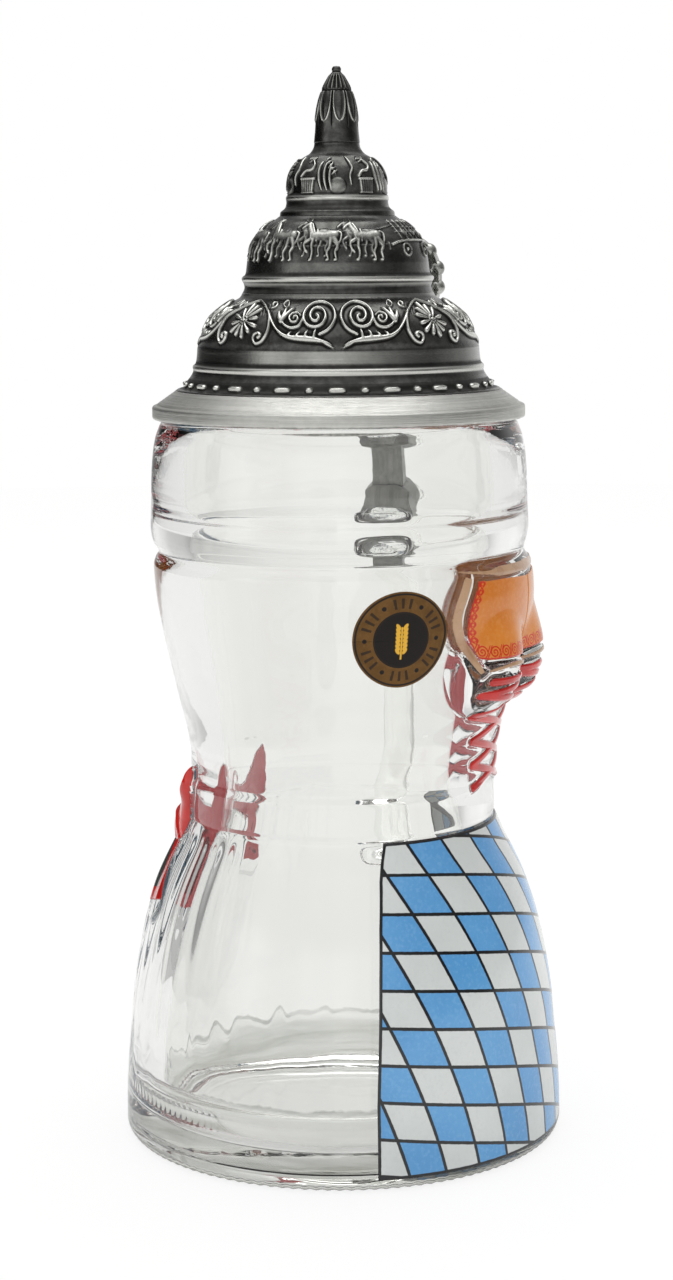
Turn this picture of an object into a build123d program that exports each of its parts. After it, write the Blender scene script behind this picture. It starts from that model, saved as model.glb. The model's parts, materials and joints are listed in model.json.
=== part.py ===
from build123d import *

import math
import os

# Figural glass beer stein with a hinged, three-tier pewter lid.
#
# Millimetres, +Z up, origin at the centre of the foot, on the table. The figure's
# front (bust, lacing and apron) faces -Y, its back (bow) faces +Y, and the handle
# with the hinge above it is at +X. Sketches on Plane.XZ extrude towards -Y.

os.makedirs("parts", exist_ok=True)

# ----------------------------------------------------------------- shared sizes
FRONT = 270.0           # azimuth of the figure's front, degrees from +X
BACK = 90.0             # azimuth of the bow
FILM = 0.18             # thickness of the fired enamels and decals
DECAL_REACH = 70.0      # extrusion of a decal outline, right through the glass wall

FOOT_RECESS_Z = 1.5     # underside of the glass inside the foot ring
FOOT_R = 49.6           # outer edge of the foot ring's flat
RIM_Z = 171.70          # top of the glass lip
LIP_OUTER_R, LIP_INNER_R = 40.2, 39.4   # flat on top of the lip

GRIP_W, GRIP_T = 13.4, 10.6    # handle section, across and through
GRIP_CORNER_R = 4.7
SEAT_TOP_X, SEAT_LOW_X = 45.6, 48.4    # planes where the handle is welded to its seats

LID_Z = 171.78          # underside of the lid flange
FLANGE_R = 43.86
DOME_SEAT_Z = 178.45    # plane where the dome is soldered on the rim
DOME_TOP_Z = 235.4      # where the finial stands on the dome
SOCKET_R = 2.6          # finial's stem and the hole it fills

AXIS_X, AXIS_Z = 52.2, 175.2   # lid hinge axis, parallel to Y
KNUCKLE_R = 4.3
PIN_R = 1.30
BORE_R = 1.36           # running bore in the lid's knuckles
RING_W = 4.6            # width of each of the five hinge rings
GAP = 0.20              # side play between the rings
RING_PITCH = RING_W + GAP
STRAP_RING_YS = (-2 * RING_PITCH, 0.0, 2 * RING_PITCH)
TANG_HALF_W = 1.5 * RING_PITCH - GAP / 2     # the lid's tang spans the three inner rings
HINGE_HALF_W = 2.5 * RING_PITCH - GAP / 2    # outer face of the end rings

# ----------------------------------------------------------------- glass profiles
# outer glass profile, (radius, height), from the foot to the lip
SKIRT = [
    (52.70, 2.8), (52.62, 9.0), (52.35, 14.5), (51.95, 20.0), (51.35, 26.0),
    (50.45, 32.5), (49.45, 38.5), (48.15, 45.0), (46.70, 51.5), (45.10, 57.0),
    (43.20, 62.5), (41.10, 67.5), (38.90, 72.3), (37.05, 76.7),
]
WAIST = [(36.80, 77.6), (36.75, 81.5), (36.60, 86.2)]
TORSO = [
    (36.00, 87.6), (35.95, 92.0), (36.60, 97.0), (38.20, 104.0), (40.00, 112.0),
    (41.60, 119.0), (43.00, 126.5), (43.80, 132.5), (44.10, 137.6),
]
GROOVE = [TORSO[-1], (43.60, 139.4), (42.90, 140.8), (43.50, 142.1), (44.25, 143.5)]
DRUM = [
    GROOVE[-1], (44.72, 146.8), (44.52, 152.0), (44.35, 158.0), (43.95, 163.5),
    (43.25, 167.6), (42.40, 169.9),
]
# cavity profile, (radius, height), from the lip down to the centre of the floor
CAVITY = [
    (36.90, 169.9), (36.75, 164.0), (36.60, 157.0), (36.50, 151.8), (36.15, 149.8),
    (35.55, 148.4), (35.25, 146.6), (35.10, 142.5), (34.50, 137.0), (33.30, 130.0),
    (31.50, 120.0), (29.50, 109.0), (28.10, 98.0), (27.60, 88.0), (28.10, 79.0),
    (30.60, 70.0), (34.80, 60.0), (38.80, 48.0), (41.80, 36.0), (43.60, 24.0),
    (44.20, 14.5),
]
FLOOR = [CAVITY[-1], (43.60, 10.4), (41.40, 7.4), (37.0, 5.9), (30.0, 5.3), (0.0, 5.0)]

# relief on the glass: azimuth, radius, height, (radial, tangential, vertical) semi-axes
BUST = [
    (FRONT, 30.8, 130.0, (14.3, 27.0, 18.6)),
    (FRONT - 17.0, 34.3, 117.6, (13.7, 13.4, 14.2)),
    (FRONT + 17.0, 34.3, 117.6, (13.7, 13.4, 14.2)),
]
BOW = [
    (BACK, 36.4, 80.6, (3.2, 9.0, 4.2)),
    (BACK - 29.0, 36.1, 81.4, (3.0, 6.2, 9.6)),
    (BACK + 29.0, 36.1, 81.4, (3.0, 6.2, 9.6)),
]
PLEAT_AZIMUTHS = [BACK + turn for turn in (-44, -35, -26, -17, -8.5, 0, 8.5, 17, 26, 35, 44)]
PLEAT_SEMI_AXES = (2.1, 1.9, 23.0)
PLEAT_R, PLEAT_Z = 45.5, 49.0   # centre of each pleat
PLEAT_LEAN = -15.0              # degrees, top towards the axis with the skirt's slope


# ----------------------------------------------------------------- helpers
def pushed(points, distance):
    """The same points, moved outwards along the curve's normal."""
    moved = []
    for i, (radius, height) in enumerate(points):
        before = points[max(i - 1, 0)]
        after = points[min(i + 1, len(points) - 1)]
        run, rise = after[0] - before[0], after[1] - before[1]
        length = math.hypot(run, rise)
        moved.append((radius + distance * rise / length, height - distance * run / length))
    return moved


def at(azimuth, radius, z=0.0):
    """Cartesian point from an azimuth in degrees, a radius and a height."""
    angle = math.radians(azimuth)
    return (radius * math.cos(angle), radius * math.sin(angle), z)


def ellipsoid(semi_axes):
    with BuildPart() as made:
        Sphere(1.0)
        scale(by=semi_axes)
    return made.part


def relief(table, grow=0.0):
    """The ellipsoids of a relief table, each standing at its azimuth and height."""
    return [
        Location(at(azimuth, radius, z), (0, 0, azimuth))
        * ellipsoid(tuple(semi_axis + grow for semi_axis in semi_axes))
        for azimuth, radius, z, semi_axes in table
    ]


def ring_of_film(points):
    """A thin shell of revolution lying on the given stretch of the glass."""
    outer = pushed(points, FILM)
    with BuildPart() as shell:
        with BuildSketch(Plane.XZ):
            with BuildLine():
                Spline(*points)
                Line(points[-1], outer[-1])
                Spline(*outer)
                Line(outer[0], points[0])
            make_face()
        revolve(axis=Axis.Z)
    return shell.part


def strap_ring():
    """One of the strap's hinge rings at the origin, its bore along Y."""
    with BuildPart() as made:
        with BuildSketch(Plane.XZ.offset(-RING_W / 2)):
            Circle(KNUCKLE_R)
            Circle(PIN_R, mode=Mode.SUBTRACT)
        extrude(amount=RING_W)
    return made.part


def barrel(radius, y_low, y_high):
    """A round bar on the hinge axis between two Y positions."""
    with BuildPart() as made:
        with BuildSketch(Plane.XZ.offset(-y_high)):
            with Locations((AXIS_X, AXIS_Z)):
                Circle(radius)
        extrude(amount=y_high - y_low)
    return made.part


# ----------------------------------------------------------------- glass blanks
with BuildPart() as outer_blank:
    with BuildSketch(Plane.XZ):
        with BuildLine():
            Polyline((0, FOOT_RECESS_Z), (41.0, FOOT_RECESS_Z), (44.0, 0.0), (FOOT_R, 0.0))
            Spline((FOOT_R, 0.0), SKIRT[0], tangents=((1, 0), (0, 1)))
            Spline(*SKIRT)
            Line(SKIRT[-1], WAIST[0])
            Polyline(*WAIST)
            Line(WAIST[-1], TORSO[0])
            Spline(*TORSO)
            Spline(*GROOVE)
            Spline(*DRUM)
            Spline(DRUM[-1], (41.6, 171.2), (LIP_OUTER_R, RIM_Z),
                   tangents=((-0.25, 1), (-1, 0)))
            Line((LIP_OUTER_R, RIM_Z), (0, RIM_Z))
            Line((0, RIM_Z), (0, FOOT_RECESS_Z))
        make_face()
    revolve(axis=Axis.Z)

CAVITY_TOP_Z = RIM_Z + 1    # the cutter stands proud of the lip

with BuildPart() as cavity_blank:
    with BuildSketch(Plane.XZ):
        with BuildLine():
            Line((0, CAVITY_TOP_Z), (LIP_INNER_R, CAVITY_TOP_Z))
            Line((LIP_INNER_R, CAVITY_TOP_Z), (LIP_INNER_R, RIM_Z))
            Spline((LIP_INNER_R, RIM_Z), (37.7, 171.3), CAVITY[0],
                   tangents=((-1, 0), (-0.2, -1)))
            Spline(*CAVITY)
            Spline(*FLOOR, tangents=((-0.05, -1), (-1, 0)))
            Line(FLOOR[-1], (0, CAVITY_TOP_Z))
        make_face()
    revolve(axis=Axis.Z)

pleat = ellipsoid(PLEAT_SEMI_AXES)
pleats = [
    Location(at(azimuth, PLEAT_R, PLEAT_Z), (0, 0, azimuth))
    * Location((0, 0, 0), (0, PLEAT_LEAN, 0)) * pleat
    for azimuth in PLEAT_AZIMUTHS
]

with BuildPart() as glass_filled:          # the body before its cavity is pressed
    add(outer_blank.part)
    for blob in relief(BUST) + relief(BOW) + pleats:
        add(blob)

# ----------------------------------------------------------------- handle, hot-welded
# centre line of the grip, (x, z), from the upper weld to the lower
HANDLE = [
    (40.0, 137.6), (52.0, 140.2), (64.0, 139.4), (74.6, 131.0), (79.6, 115.5),
    (78.2, 98.0), (70.4, 80.0), (57.5, 65.5), (44.5, 56.5),
]
WELD_SPLIT_Z = 100.0    # the upper weld plane rules above, the lower below
WELD_BOX = 100.0        # length and height of each trimming box
WELD_BOX_W = 40.0

with BuildPart() as handle_blank:
    with BuildLine(Plane.XZ) as handle_path:
        Spline(*HANDLE, tangents=((1, 0.28), (-1, -0.5)))
    with BuildSketch(Plane(origin=handle_path.line @ 0, x_dir=(0, 1, 0),
                           z_dir=handle_path.line % 0)):
        RectangleRounded(GRIP_W, GRIP_T, GRIP_CORNER_R)
    sweep()

with BuildPart() as weld_side:             # everything on the body's side of the two weld planes
    with Locations((SEAT_TOP_X - WELD_BOX / 2, 0, WELD_SPLIT_Z + WELD_BOX / 2)):
        Box(WELD_BOX, WELD_BOX_W, WELD_BOX)
    with Locations((SEAT_LOW_X - WELD_BOX / 2, 0, WELD_SPLIT_Z - WELD_BOX / 2)):
        Box(WELD_BOX, WELD_BOX_W, WELD_BOX)

with BuildPart() as glass_handle:
    add(handle_blank.part)
    add(weld_side.part, mode=Mode.SUBTRACT)

with BuildPart() as weld_seats:            # short stubs pressed on the body, ground flat
    add(handle_blank.part)
    add(weld_side.part, mode=Mode.INTERSECT)

# ----------------------------------------------------------------- glass body
with BuildPart() as glass_body:
    add(glass_filled.part)
    add(weld_seats.part)
    add(cavity_blank.part, mode=Mode.SUBTRACT)

# ----------------------------------------------------------------- film blanks
with BuildPart() as bodice_blank:          # skin of the torso and bust, FILM thick
    with BuildSketch(Plane.XZ):
        grown = pushed(TORSO, FILM)
        with BuildLine():
            Spline(*grown)
            Line(grown[-1], (0, grown[-1][1]))
            Line((0, grown[-1][1]), (0, grown[0][1]))
            Line((0, grown[0][1]), grown[0])
        make_face()
    revolve(axis=Axis.Z)
    for blob in relief(BUST, FILM):
        add(blob)
    add(glass_filled.part, mode=Mode.SUBTRACT)

skirt_film = ring_of_film(SKIRT)
torso_film = ring_of_film(TORSO[1:])

# ----------------------------------------------------------------- apron
# +X edge of the apron, (x, z), from the waist to the hem
APRON_SIDE = [(31.5, 76.4), (38.7, 60.0), (43.8, 40.0), (46.7, 20.0), (47.3, 3.0)]

with BuildPart() as apron_decal:
    with BuildSketch(Plane.XZ):
        far_side = [(-x, z) for x, z in reversed(APRON_SIDE)]
        with BuildLine():
            Spline(*APRON_SIDE)
            Line(APRON_SIDE[-1], far_side[0])
            Spline(*far_side)
            Line(far_side[-1], APRON_SIDE[0])
        make_face()
    extrude(amount=DECAL_REACH)
    add(skirt_film, mode=Mode.INTERSECT)

# ----------------------------------------------------------------- bodice
with BuildPart() as bodice_panels:
    with BuildSketch(Plane.XZ):
        with BuildLine():
            Polyline((2.2, 132.6), (19.6, 132.4), (21.4, 126.0), (22.0, 120.5), (20.0, 115.0),
                     (17.6, 112.6), (2.2, 113.4), (2.2, 132.6))
        make_face()
        mirror(about=Plane.YZ)
    extrude(amount=DECAL_REACH)
    add(bodice_blank.part, mode=Mode.INTERSECT)

# edges of the trim strip beside each panel, (x, z): outer downwards, inner upwards
TRIM_OUTER = [(22.6, 134.4), (24.2, 127.0), (24.9, 120.0), (23.4, 113.6), (20.6, 109.6)]
TRIM_INNER = [(18.4, 110.8), (21.4, 114.8), (22.8, 120.4), (22.1, 127.0), (20.6, 133.6)]
TOP_BAND_Z, TOP_BAND_W, TOP_BAND_H = 136.0, 38.0, 1.9

with BuildPart() as bodice_trim:
    with BuildSketch(Plane.XZ):
        with BuildLine():
            Spline(*TRIM_OUTER)
            Line(TRIM_OUTER[-1], TRIM_INNER[0])
            Spline(*TRIM_INNER)
            Line(TRIM_INNER[-1], TRIM_OUTER[0])
        make_face()
        with Locations((0, TOP_BAND_Z)):
            Rectangle(TOP_BAND_W, TOP_BAND_H)
        mirror(about=Plane.YZ)
    extrude(amount=DECAL_REACH)
    add(bodice_blank.part, mode=Mode.INTERSECT)

# turning points of one lace, (x, z), upwards; the other lace is its mirror image
LACE_TURNS = [(-9.4, 88.8), (9.8, 92.6), (-10.6, 96.6), (11.6, 100.8)]
LACE_W = 2.4

with BuildPart() as lacing_enamel:
    with BuildSketch(Plane.XZ):
        for side in (1, -1):
            for (x0, z0), (x1, z1) in zip(LACE_TURNS, LACE_TURNS[1:]):
                middle = (side * (x0 + x1) / 2, (z0 + z1) / 2, 0)
                slope = math.degrees(math.atan2(z1 - z0, side * (x1 - x0)))
                with Locations(Location(middle, (0, 0, slope))):
                    SlotOverall(math.hypot(x1 - x0, z1 - z0) + LACE_W, LACE_W)
    extrude(amount=DECAL_REACH)
    add(bodice_blank.part, mode=Mode.INTERSECT)

# ----------------------------------------------------------------- bow
with BuildPart() as bow_skin:
    for blob in relief(BOW, FILM):
        add(blob)
    add(glass_filled.part, mode=Mode.SUBTRACT)

with BuildPart() as bow_tails:
    with BuildSketch(Plane.XZ):
        with BuildLine():
            Polyline((13.2, 76.0), (19.0, 75.6), (24.6, 58.6), (20.6, 60.6), (16.8, 57.8),
                     (13.2, 76.0))
        make_face()
        mirror(about=Plane.YZ)
    extrude(amount=-DECAL_REACH)
    add(skirt_film, mode=Mode.INTERSECT)
    add(glass_filled.part, mode=Mode.SUBTRACT)

with BuildPart() as bow_enamel:
    add(bow_skin.part)
    add(bow_tails.part)

# ----------------------------------------------------------------- round label
LABEL_AZIMUTH = FRONT - 53.5
LABEL_R, LABEL_Z = 10.7, 123.9
LABEL_START_R, LABEL_REACH = 30.0, 30.0    # radial start and length of its extrusion

with BuildPart() as round_label:
    with BuildSketch(Plane(origin=at(LABEL_AZIMUTH, LABEL_START_R, LABEL_Z),
                           x_dir=(0, 0, 1), z_dir=at(LABEL_AZIMUTH, 1.0))):
        Circle(LABEL_R)
    extrude(amount=LABEL_REACH)
    add(torso_film, mode=Mode.INTERSECT)
    add(glass_filled.part, mode=Mode.SUBTRACT)

# ----------------------------------------------------------------- lid rim
RIM_BORE_R = 34.2
PLUG_R, PLUG_Z = 36.0, 168.8    # ring that drops inside the lip, and its lower edge

with BuildPart() as lid_rim:
    with BuildSketch(Plane.XZ):
        with BuildLine():
            Polyline((RIM_BORE_R, PLUG_Z), (PLUG_R - 0.2, PLUG_Z), (PLUG_R, PLUG_Z + 0.2),
                     (PLUG_R, LID_Z), (43.5, LID_Z), (FLANGE_R, 172.15), (FLANGE_R, 174.65),
                     (43.45, 175.0), (38.55, 178.2), (38.2, DOME_SEAT_Z),
                     (RIM_BORE_R, DOME_SEAT_Z), (RIM_BORE_R, PLUG_Z))
        make_face()
    revolve(axis=Axis.Z)

# ----------------------------------------------------------------- lid dome
# outside of the three tiers, (radius, height), upwards
LOWER = [(33.25, 184.9), (33.0, 188.0), (32.2, 191.8), (30.1, 195.6), (26.4, 199.0), (23.2, 201.4)]
MIDDLE = [(22.1, 205.2), (21.7, 208.0), (20.6, 212.0), (17.9, 215.8), (15.4, 217.7), (13.3, 219.0)]
UPPER = [(12.0, 221.6), (11.95, 225.0), (11.3, 228.3), (9.6, 230.9), (7.2, 232.9), (5.9, 234.4)]
# inside of the three tiers, (radius, height), downwards
UPPER_INSIDE = [(SOCKET_R, 232.6), (5.2, 231.6), (8.4, 228.2), (9.6, 222.2)]
MIDDLE_INSIDE = [(11.4, 217.2), (16.2, 213.4), (18.8, 209.0), (19.7, 203.6)]
LOWER_INSIDE = [(23.6, 197.8), (28.2, 193.6), (30.4, 189.0), (31.2, 183.0)]
DOME_SEAT_INNER = (35.0, DOME_SEAT_Z)
DOME_TOP_EDGE = (5.3, DOME_TOP_Z)

BEADS = 18              # of each kind, round and long in turn
BEAD_STEP = 360.0 / BEADS
BEAD_R, BEAD_Z = 0.95, 180.0
LONG_BEAD_L = 3.6

with BuildPart() as lid_dome:
    with BuildSketch(Plane.XZ):
        with BuildLine():
            Polyline(DOME_SEAT_INNER, (38.0, DOME_SEAT_Z), (36.7, 179.3), (36.2, 180.2),
                     (34.9, 181.2), (34.2, 182.4), (33.7, 183.2), (33.6, 184.6), LOWER[0])
            Spline(*LOWER)
            Polyline(LOWER[-1], (22.6, 202.4), (22.5, 203.2), (22.2, 204.9), MIDDLE[0])
            Spline(*MIDDLE)
            Polyline(MIDDLE[-1], (13.2, 220.3), (12.2, 221.0), UPPER[0])
            Spline(*UPPER)
            Polyline(UPPER[-1], DOME_TOP_EDGE, (SOCKET_R, DOME_TOP_Z), UPPER_INSIDE[0])
            Spline(*UPPER_INSIDE)
            Polyline(UPPER_INSIDE[-1], (10.0, 219.2), MIDDLE_INSIDE[0])
            Spline(*MIDDLE_INSIDE)
            Polyline(MIDDLE_INSIDE[-1], (20.4, 200.6), LOWER_INSIDE[0])
            Spline(*LOWER_INSIDE)
            Polyline(LOWER_INSIDE[-1], (32.0, 180.8), DOME_SEAT_INNER)
        make_face()
    revolve(axis=Axis.Z)
    with PolarLocations(36.35, BEADS):       # round beads
        with Locations((0, 0, BEAD_Z)):
            Sphere(BEAD_R)
    for step in range(BEADS):                # long beads, lying along the ring
        azimuth = BEAD_STEP * (step + 0.5)
        with Locations(Location(at(azimuth, 36.3, BEAD_Z), (0, 0, azimuth))):
            with Locations(Location((0, 0, 0), (90, 0, 0))):
                Cylinder(BEAD_R, LONG_BEAD_L)

# ----------------------------------------------------------------- finial
STEM_Z = 231.4          # lower end of the stem, inside the dome
TIP_Z = 252.9
# outside of the bud, (radius, height), upwards
BUD = [DOME_TOP_EDGE, (5.05, 238.0), (4.85, 241.5), (4.25, 245.1), (3.45, 247.2)]
BUD_NECK = (0.95, 251.6)
FLUTES = 8
FLUTE_RING_R, FLUTE_Z = 5.85, 243.2
FLUTE_R, FLUTE_L = 1.05, 8.4

with BuildPart() as lid_finial:
    with BuildSketch(Plane.XZ):
        with BuildLine():
            Polyline((0, STEM_Z), (SOCKET_R, STEM_Z), (SOCKET_R, DOME_TOP_Z), BUD[0])
            Spline(*BUD)
            Spline(BUD[-1], (2.8, 248.9), (1.9, 250.4), BUD_NECK)
            Spline(BUD_NECK, (1.1, 252.2), (0, TIP_Z), tangents=((0.6, 1), (-1, 0)))
            Line((0, TIP_Z), (0, STEM_Z))
        make_face()
    revolve(axis=Axis.Z)
    with PolarLocations(FLUTE_RING_R, FLUTES):   # flutes between the petals
        with Locations((0, 0, FLUTE_Z)):
            Cylinder(FLUTE_R, FLUTE_L, mode=Mode.SUBTRACT)

# ----------------------------------------------------------------- hinge tang on the lid
ROOM_R = KNUCKLE_R + 0.3    # clearance round the hinge rings
middle_slot = barrel(ROOM_R, -(RING_W / 2 + GAP), RING_W / 2 + GAP)
running_bore = barrel(BORE_R, -20, 20)

with BuildPart() as lid_tang:
    with BuildSketch(Plane.XZ.offset(-TANG_HALF_W)):
        with BuildLine():
            Polyline((36.4, 181.6), (43.6, 179.6), (AXIS_X, AXIS_Z + KNUCKLE_R),
                     (AXIS_X, AXIS_Z), (48.6, 173.2), (43.9, 173.0), (40.0, 174.0),
                     (36.4, 177.4), (36.4, 181.6))
        make_face()
        with Locations((AXIS_X, AXIS_Z)):
            Circle(KNUCKLE_R)
    extrude(amount=2 * TANG_HALF_W)
    add(middle_slot, mode=Mode.SUBTRACT)
    add(running_bore, mode=Mode.SUBTRACT)
    add(lid_rim.part, mode=Mode.SUBTRACT)
    add(lid_dome.part, mode=Mode.SUBTRACT)

# ----------------------------------------------------------------- hinge strap
STRAP_X = 47.9          # face of the bar and stem towards the glass
BAR_Z, BAR_TOP_Z = 167.4, 170.6
BAR_W = 24.0
STEM_W = 9.5
STEM_TOP_Z, STEM_LOW_Z = 168.0, 144.0
# face of the stem away from the glass, (x, z), upwards
STEM_OUTSIDE = [(53.2, STEM_LOW_Z), (51.8, 151.0), (51.2, 160.0), (52.2, STEM_TOP_Z)]
COLLAR_X, COLLAR_L = 46.8, 9.4    # start and length along X
COLLAR_Z = 139.9

with BuildPart() as hinge_strap:
    for y in STRAP_RING_YS:
        add(Location((AXIS_X, y, AXIS_Z)) * strap_ring())
    with BuildSketch(Plane.XZ.offset(-BAR_W / 2)):      # cross bar under the rings
        with BuildLine():
            Polyline((STRAP_X, BAR_Z), (52.6, BAR_Z), (53.6, 169.4), (53.6, BAR_TOP_Z),
                     (STRAP_X, BAR_TOP_Z), (STRAP_X, BAR_Z))
        make_face()
    extrude(amount=BAR_W)
    with BuildSketch(Plane.XZ.offset(-STEM_W / 2)):     # stem down to the collar
        with BuildLine():
            Polyline((STRAP_X, STEM_TOP_Z), (STRAP_X, 150.0), (47.2, STEM_LOW_Z))
            Line((47.2, STEM_LOW_Z), STEM_OUTSIDE[0])
            Spline(*STEM_OUTSIDE)
            Line(STEM_OUTSIDE[-1], (STRAP_X, STEM_TOP_Z))
        make_face()
    extrude(amount=STEM_W)
    for y in STRAP_RING_YS:                             # webs from the bar to the rings
        with Locations((AXIS_X - 1.6, y, 172.0)):
            Box(5.0, RING_W, 4.0)
    with BuildSketch(Plane.YZ.offset(COLLAR_X)):        # collar round the handle
        with Locations((0, COLLAR_Z)):
            RectangleRounded(GRIP_W + 3.6, GRIP_T + 4.6, 5.6)
    extrude(amount=COLLAR_L)
    add(handle_blank.part, mode=Mode.SUBTRACT)
    add(glass_filled.part, mode=Mode.SUBTRACT)
    add(barrel(PIN_R, -20, 20), mode=Mode.SUBTRACT)

# ----------------------------------------------------------------- hinge pin
HEAD_R, HEAD_T = 2.2, 0.9
ROD_OVERLAP = 0.1       # how far the rod runs into each head

with BuildPart() as hinge_pin:
    add(barrel(PIN_R, -HINGE_HALF_W - ROD_OVERLAP, HINGE_HALF_W + ROD_OVERLAP))
    add(barrel(HEAD_R, -HINGE_HALF_W - HEAD_T, -HINGE_HALF_W))
    add(barrel(HEAD_R, HINGE_HALF_W, HINGE_HALF_W + HEAD_T))

# ----------------------------------------------------------------- thumb lift
THUMB_X, THUMB_T = 45.0, 3.2          # face towards the lid's axis, and thickness
THUMB_MID_X = THUMB_X + THUMB_T / 2
BLANK_Z, THUMB_TOP_Z = 176.0, 215.6   # ends of the plate before its foot is trimmed
# +Y edge of the plate, (y, z), upwards
THUMB_EDGE = [
    (4.6, BLANK_Z), (4.2, 184.0), (5.6, 190.0), (9.8, 195.4), (12.0, 201.6),
    (11.8, 207.0), (9.6, 211.6), (5.2, 214.6), (0.0, THUMB_TOP_Z),
]
# pierced holes, one on each side: y, z, radius
THUMB_HOLES = [(6.9, 207.0, 2.5), (7.2, 199.6, 2.7), (3.1, 193.4, 1.5)]
# border beads, one on each side: y, z
THUMB_BEADS = [
    (5.0, 189.0), (7.8, 193.0), (10.2, 197.0), (11.3, 201.6), (11.2, 206.2),
    (9.2, 210.4), (5.4, 213.4),
]
THUMB_BEAD_R, TOP_BEAD_R = 2.0, 2.5

with BuildPart() as thumb_lift:
    with BuildSketch(Plane.YZ.offset(THUMB_X)):
        with BuildLine():
            Spline(*THUMB_EDGE)
            Line(THUMB_EDGE[-1], (0.0, BLANK_Z))
            Line((0.0, BLANK_Z), THUMB_EDGE[0])
        make_face()
        mirror(about=Plane.YZ)
        for y, z, radius in THUMB_HOLES:
            with Locations((y, z), (-y, z)):
                Circle(radius, mode=Mode.SUBTRACT)
        with Locations((0, 204.0)):          # upright slot in the middle
            SlotOverall(9.0, 3.2, rotation=90, mode=Mode.SUBTRACT)
    extrude(amount=THUMB_T)
    for y, z in THUMB_BEADS:
        with Locations((THUMB_MID_X, y, z), (THUMB_MID_X, -y, z)):
            Sphere(THUMB_BEAD_R)
    with Locations((THUMB_MID_X, 0, 214.2)):
        Sphere(TOP_BEAD_R)
    add(lid_tang.part, mode=Mode.SUBTRACT)
    add(barrel(ROOM_R, -30, 30), mode=Mode.SUBTRACT)
    with Locations((47, 0, 173.0)):          # trims the foot at z = 178.5
        Box(20, 30, 11.0, mode=Mode.SUBTRACT)

# ----------------------------------------------------------------- labels and files
PIECES = {
    "glass_body": glass_body,
    "glass_handle": glass_handle,
    "apron_decal": apron_decal,
    "bodice_panels": bodice_panels,
    "bodice_trim": bodice_trim,
    "lacing_enamel": lacing_enamel,
    "bow_enamel": bow_enamel,
    "round_label": round_label,
    "lid_rim": lid_rim,
    "lid_dome": lid_dome,
    "lid_finial": lid_finial,
    "lid_tang": lid_tang,
    "thumb_lift": thumb_lift,
    "hinge_strap": hinge_strap,
    "hinge_pin": hinge_pin,
}
for name, piece in PIECES.items():
    piece.part.label = name
    export_step(piece.part, f"parts/{name}.step")
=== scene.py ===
"""Covered glass mug shaped as a woman's figure, with a pewter lid.

The mug stands on z = 0 with its axis on Z. The figure faces -Y and her right side is -X;
the handle and the hinge are at +X. Shapes are worked out in millimetres and degrees and
scaled to metres when a mesh is made. Lengths inside materials and the stage are in metres.
"""
import json
import math

import bmesh
import bpy
import numpy as np
from mathutils import Matrix, Vector

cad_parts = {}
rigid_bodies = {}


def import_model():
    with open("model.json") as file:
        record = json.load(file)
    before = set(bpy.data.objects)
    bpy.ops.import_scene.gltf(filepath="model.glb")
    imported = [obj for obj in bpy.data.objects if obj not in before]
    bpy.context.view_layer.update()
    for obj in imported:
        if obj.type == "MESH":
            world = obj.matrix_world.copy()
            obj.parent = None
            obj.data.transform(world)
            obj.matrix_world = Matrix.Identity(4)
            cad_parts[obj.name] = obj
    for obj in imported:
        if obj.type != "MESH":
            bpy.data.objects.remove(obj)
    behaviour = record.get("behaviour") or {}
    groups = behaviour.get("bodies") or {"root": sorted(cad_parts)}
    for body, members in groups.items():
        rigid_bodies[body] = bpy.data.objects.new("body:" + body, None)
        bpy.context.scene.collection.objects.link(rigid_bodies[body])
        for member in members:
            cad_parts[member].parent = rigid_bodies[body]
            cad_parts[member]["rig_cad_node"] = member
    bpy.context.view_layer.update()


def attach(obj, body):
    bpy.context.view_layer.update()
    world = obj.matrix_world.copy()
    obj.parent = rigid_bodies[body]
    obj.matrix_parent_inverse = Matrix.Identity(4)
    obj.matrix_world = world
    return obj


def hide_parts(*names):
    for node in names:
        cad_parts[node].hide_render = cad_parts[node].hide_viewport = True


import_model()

MM = 0.001

# Angle alpha runs from the front (-Y) towards -X. The lid's ornament is laid out in phi,
# which runs the other way: alpha = LID_START - phi.
LID_START = 72.5
CAMERA_ALPHA = 72.5


def polar(alpha, radius):
    angle = np.radians(alpha)
    return -radius * np.sin(angle), -radius * np.cos(angle)


def wrap(angle):
    return (angle + 180.0) % 360.0 - 180.0


# ------------------------------------------------------------------ curves
def monotone(x, y, at):
    """Monotone cubic through (x, y), evaluated at `at`."""
    x, y = np.asarray(x, float), np.asarray(y, float)
    gap = np.diff(x)
    slope = np.diff(y) / gap
    tangent = np.zeros_like(y)
    tangent[0], tangent[-1] = slope[0], slope[-1]
    for i in range(1, len(x) - 1):
        if slope[i - 1] * slope[i] > 0:
            before, after = 2 * gap[i] + gap[i - 1], gap[i] + 2 * gap[i - 1]
            tangent[i] = (before + after) / (before / slope[i - 1] + after / slope[i])
    k = np.clip(np.searchsorted(x, at) - 1, 0, len(x) - 2)
    t = np.clip((at - x[k]) / gap[k], 0, 1)
    t2, t3 = t * t, t * t * t
    return ((2 * t3 - 3 * t2 + 1) * y[k] + (t3 - 2 * t2 + t) * gap[k] * tangent[k]
            + (-2 * t3 + 3 * t2) * y[k + 1] + (t3 - t2) * gap[k] * tangent[k + 1])


def soft_max(first, second, reach):
    near = np.clip(reach - np.abs(first - second), 0, None) / reach
    return np.maximum(first, second) + near * near * reach * 0.25


def ease(start, end, value):
    """Smooth step from 0 at start to 1 at end; start may be the larger."""
    t = np.clip((value - start) / (end - start), 0, 1)
    return t * t * (3 - 2 * t)


def gauss(value, centre, width):
    return np.exp(-((value - centre) / width) ** 2)


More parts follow.
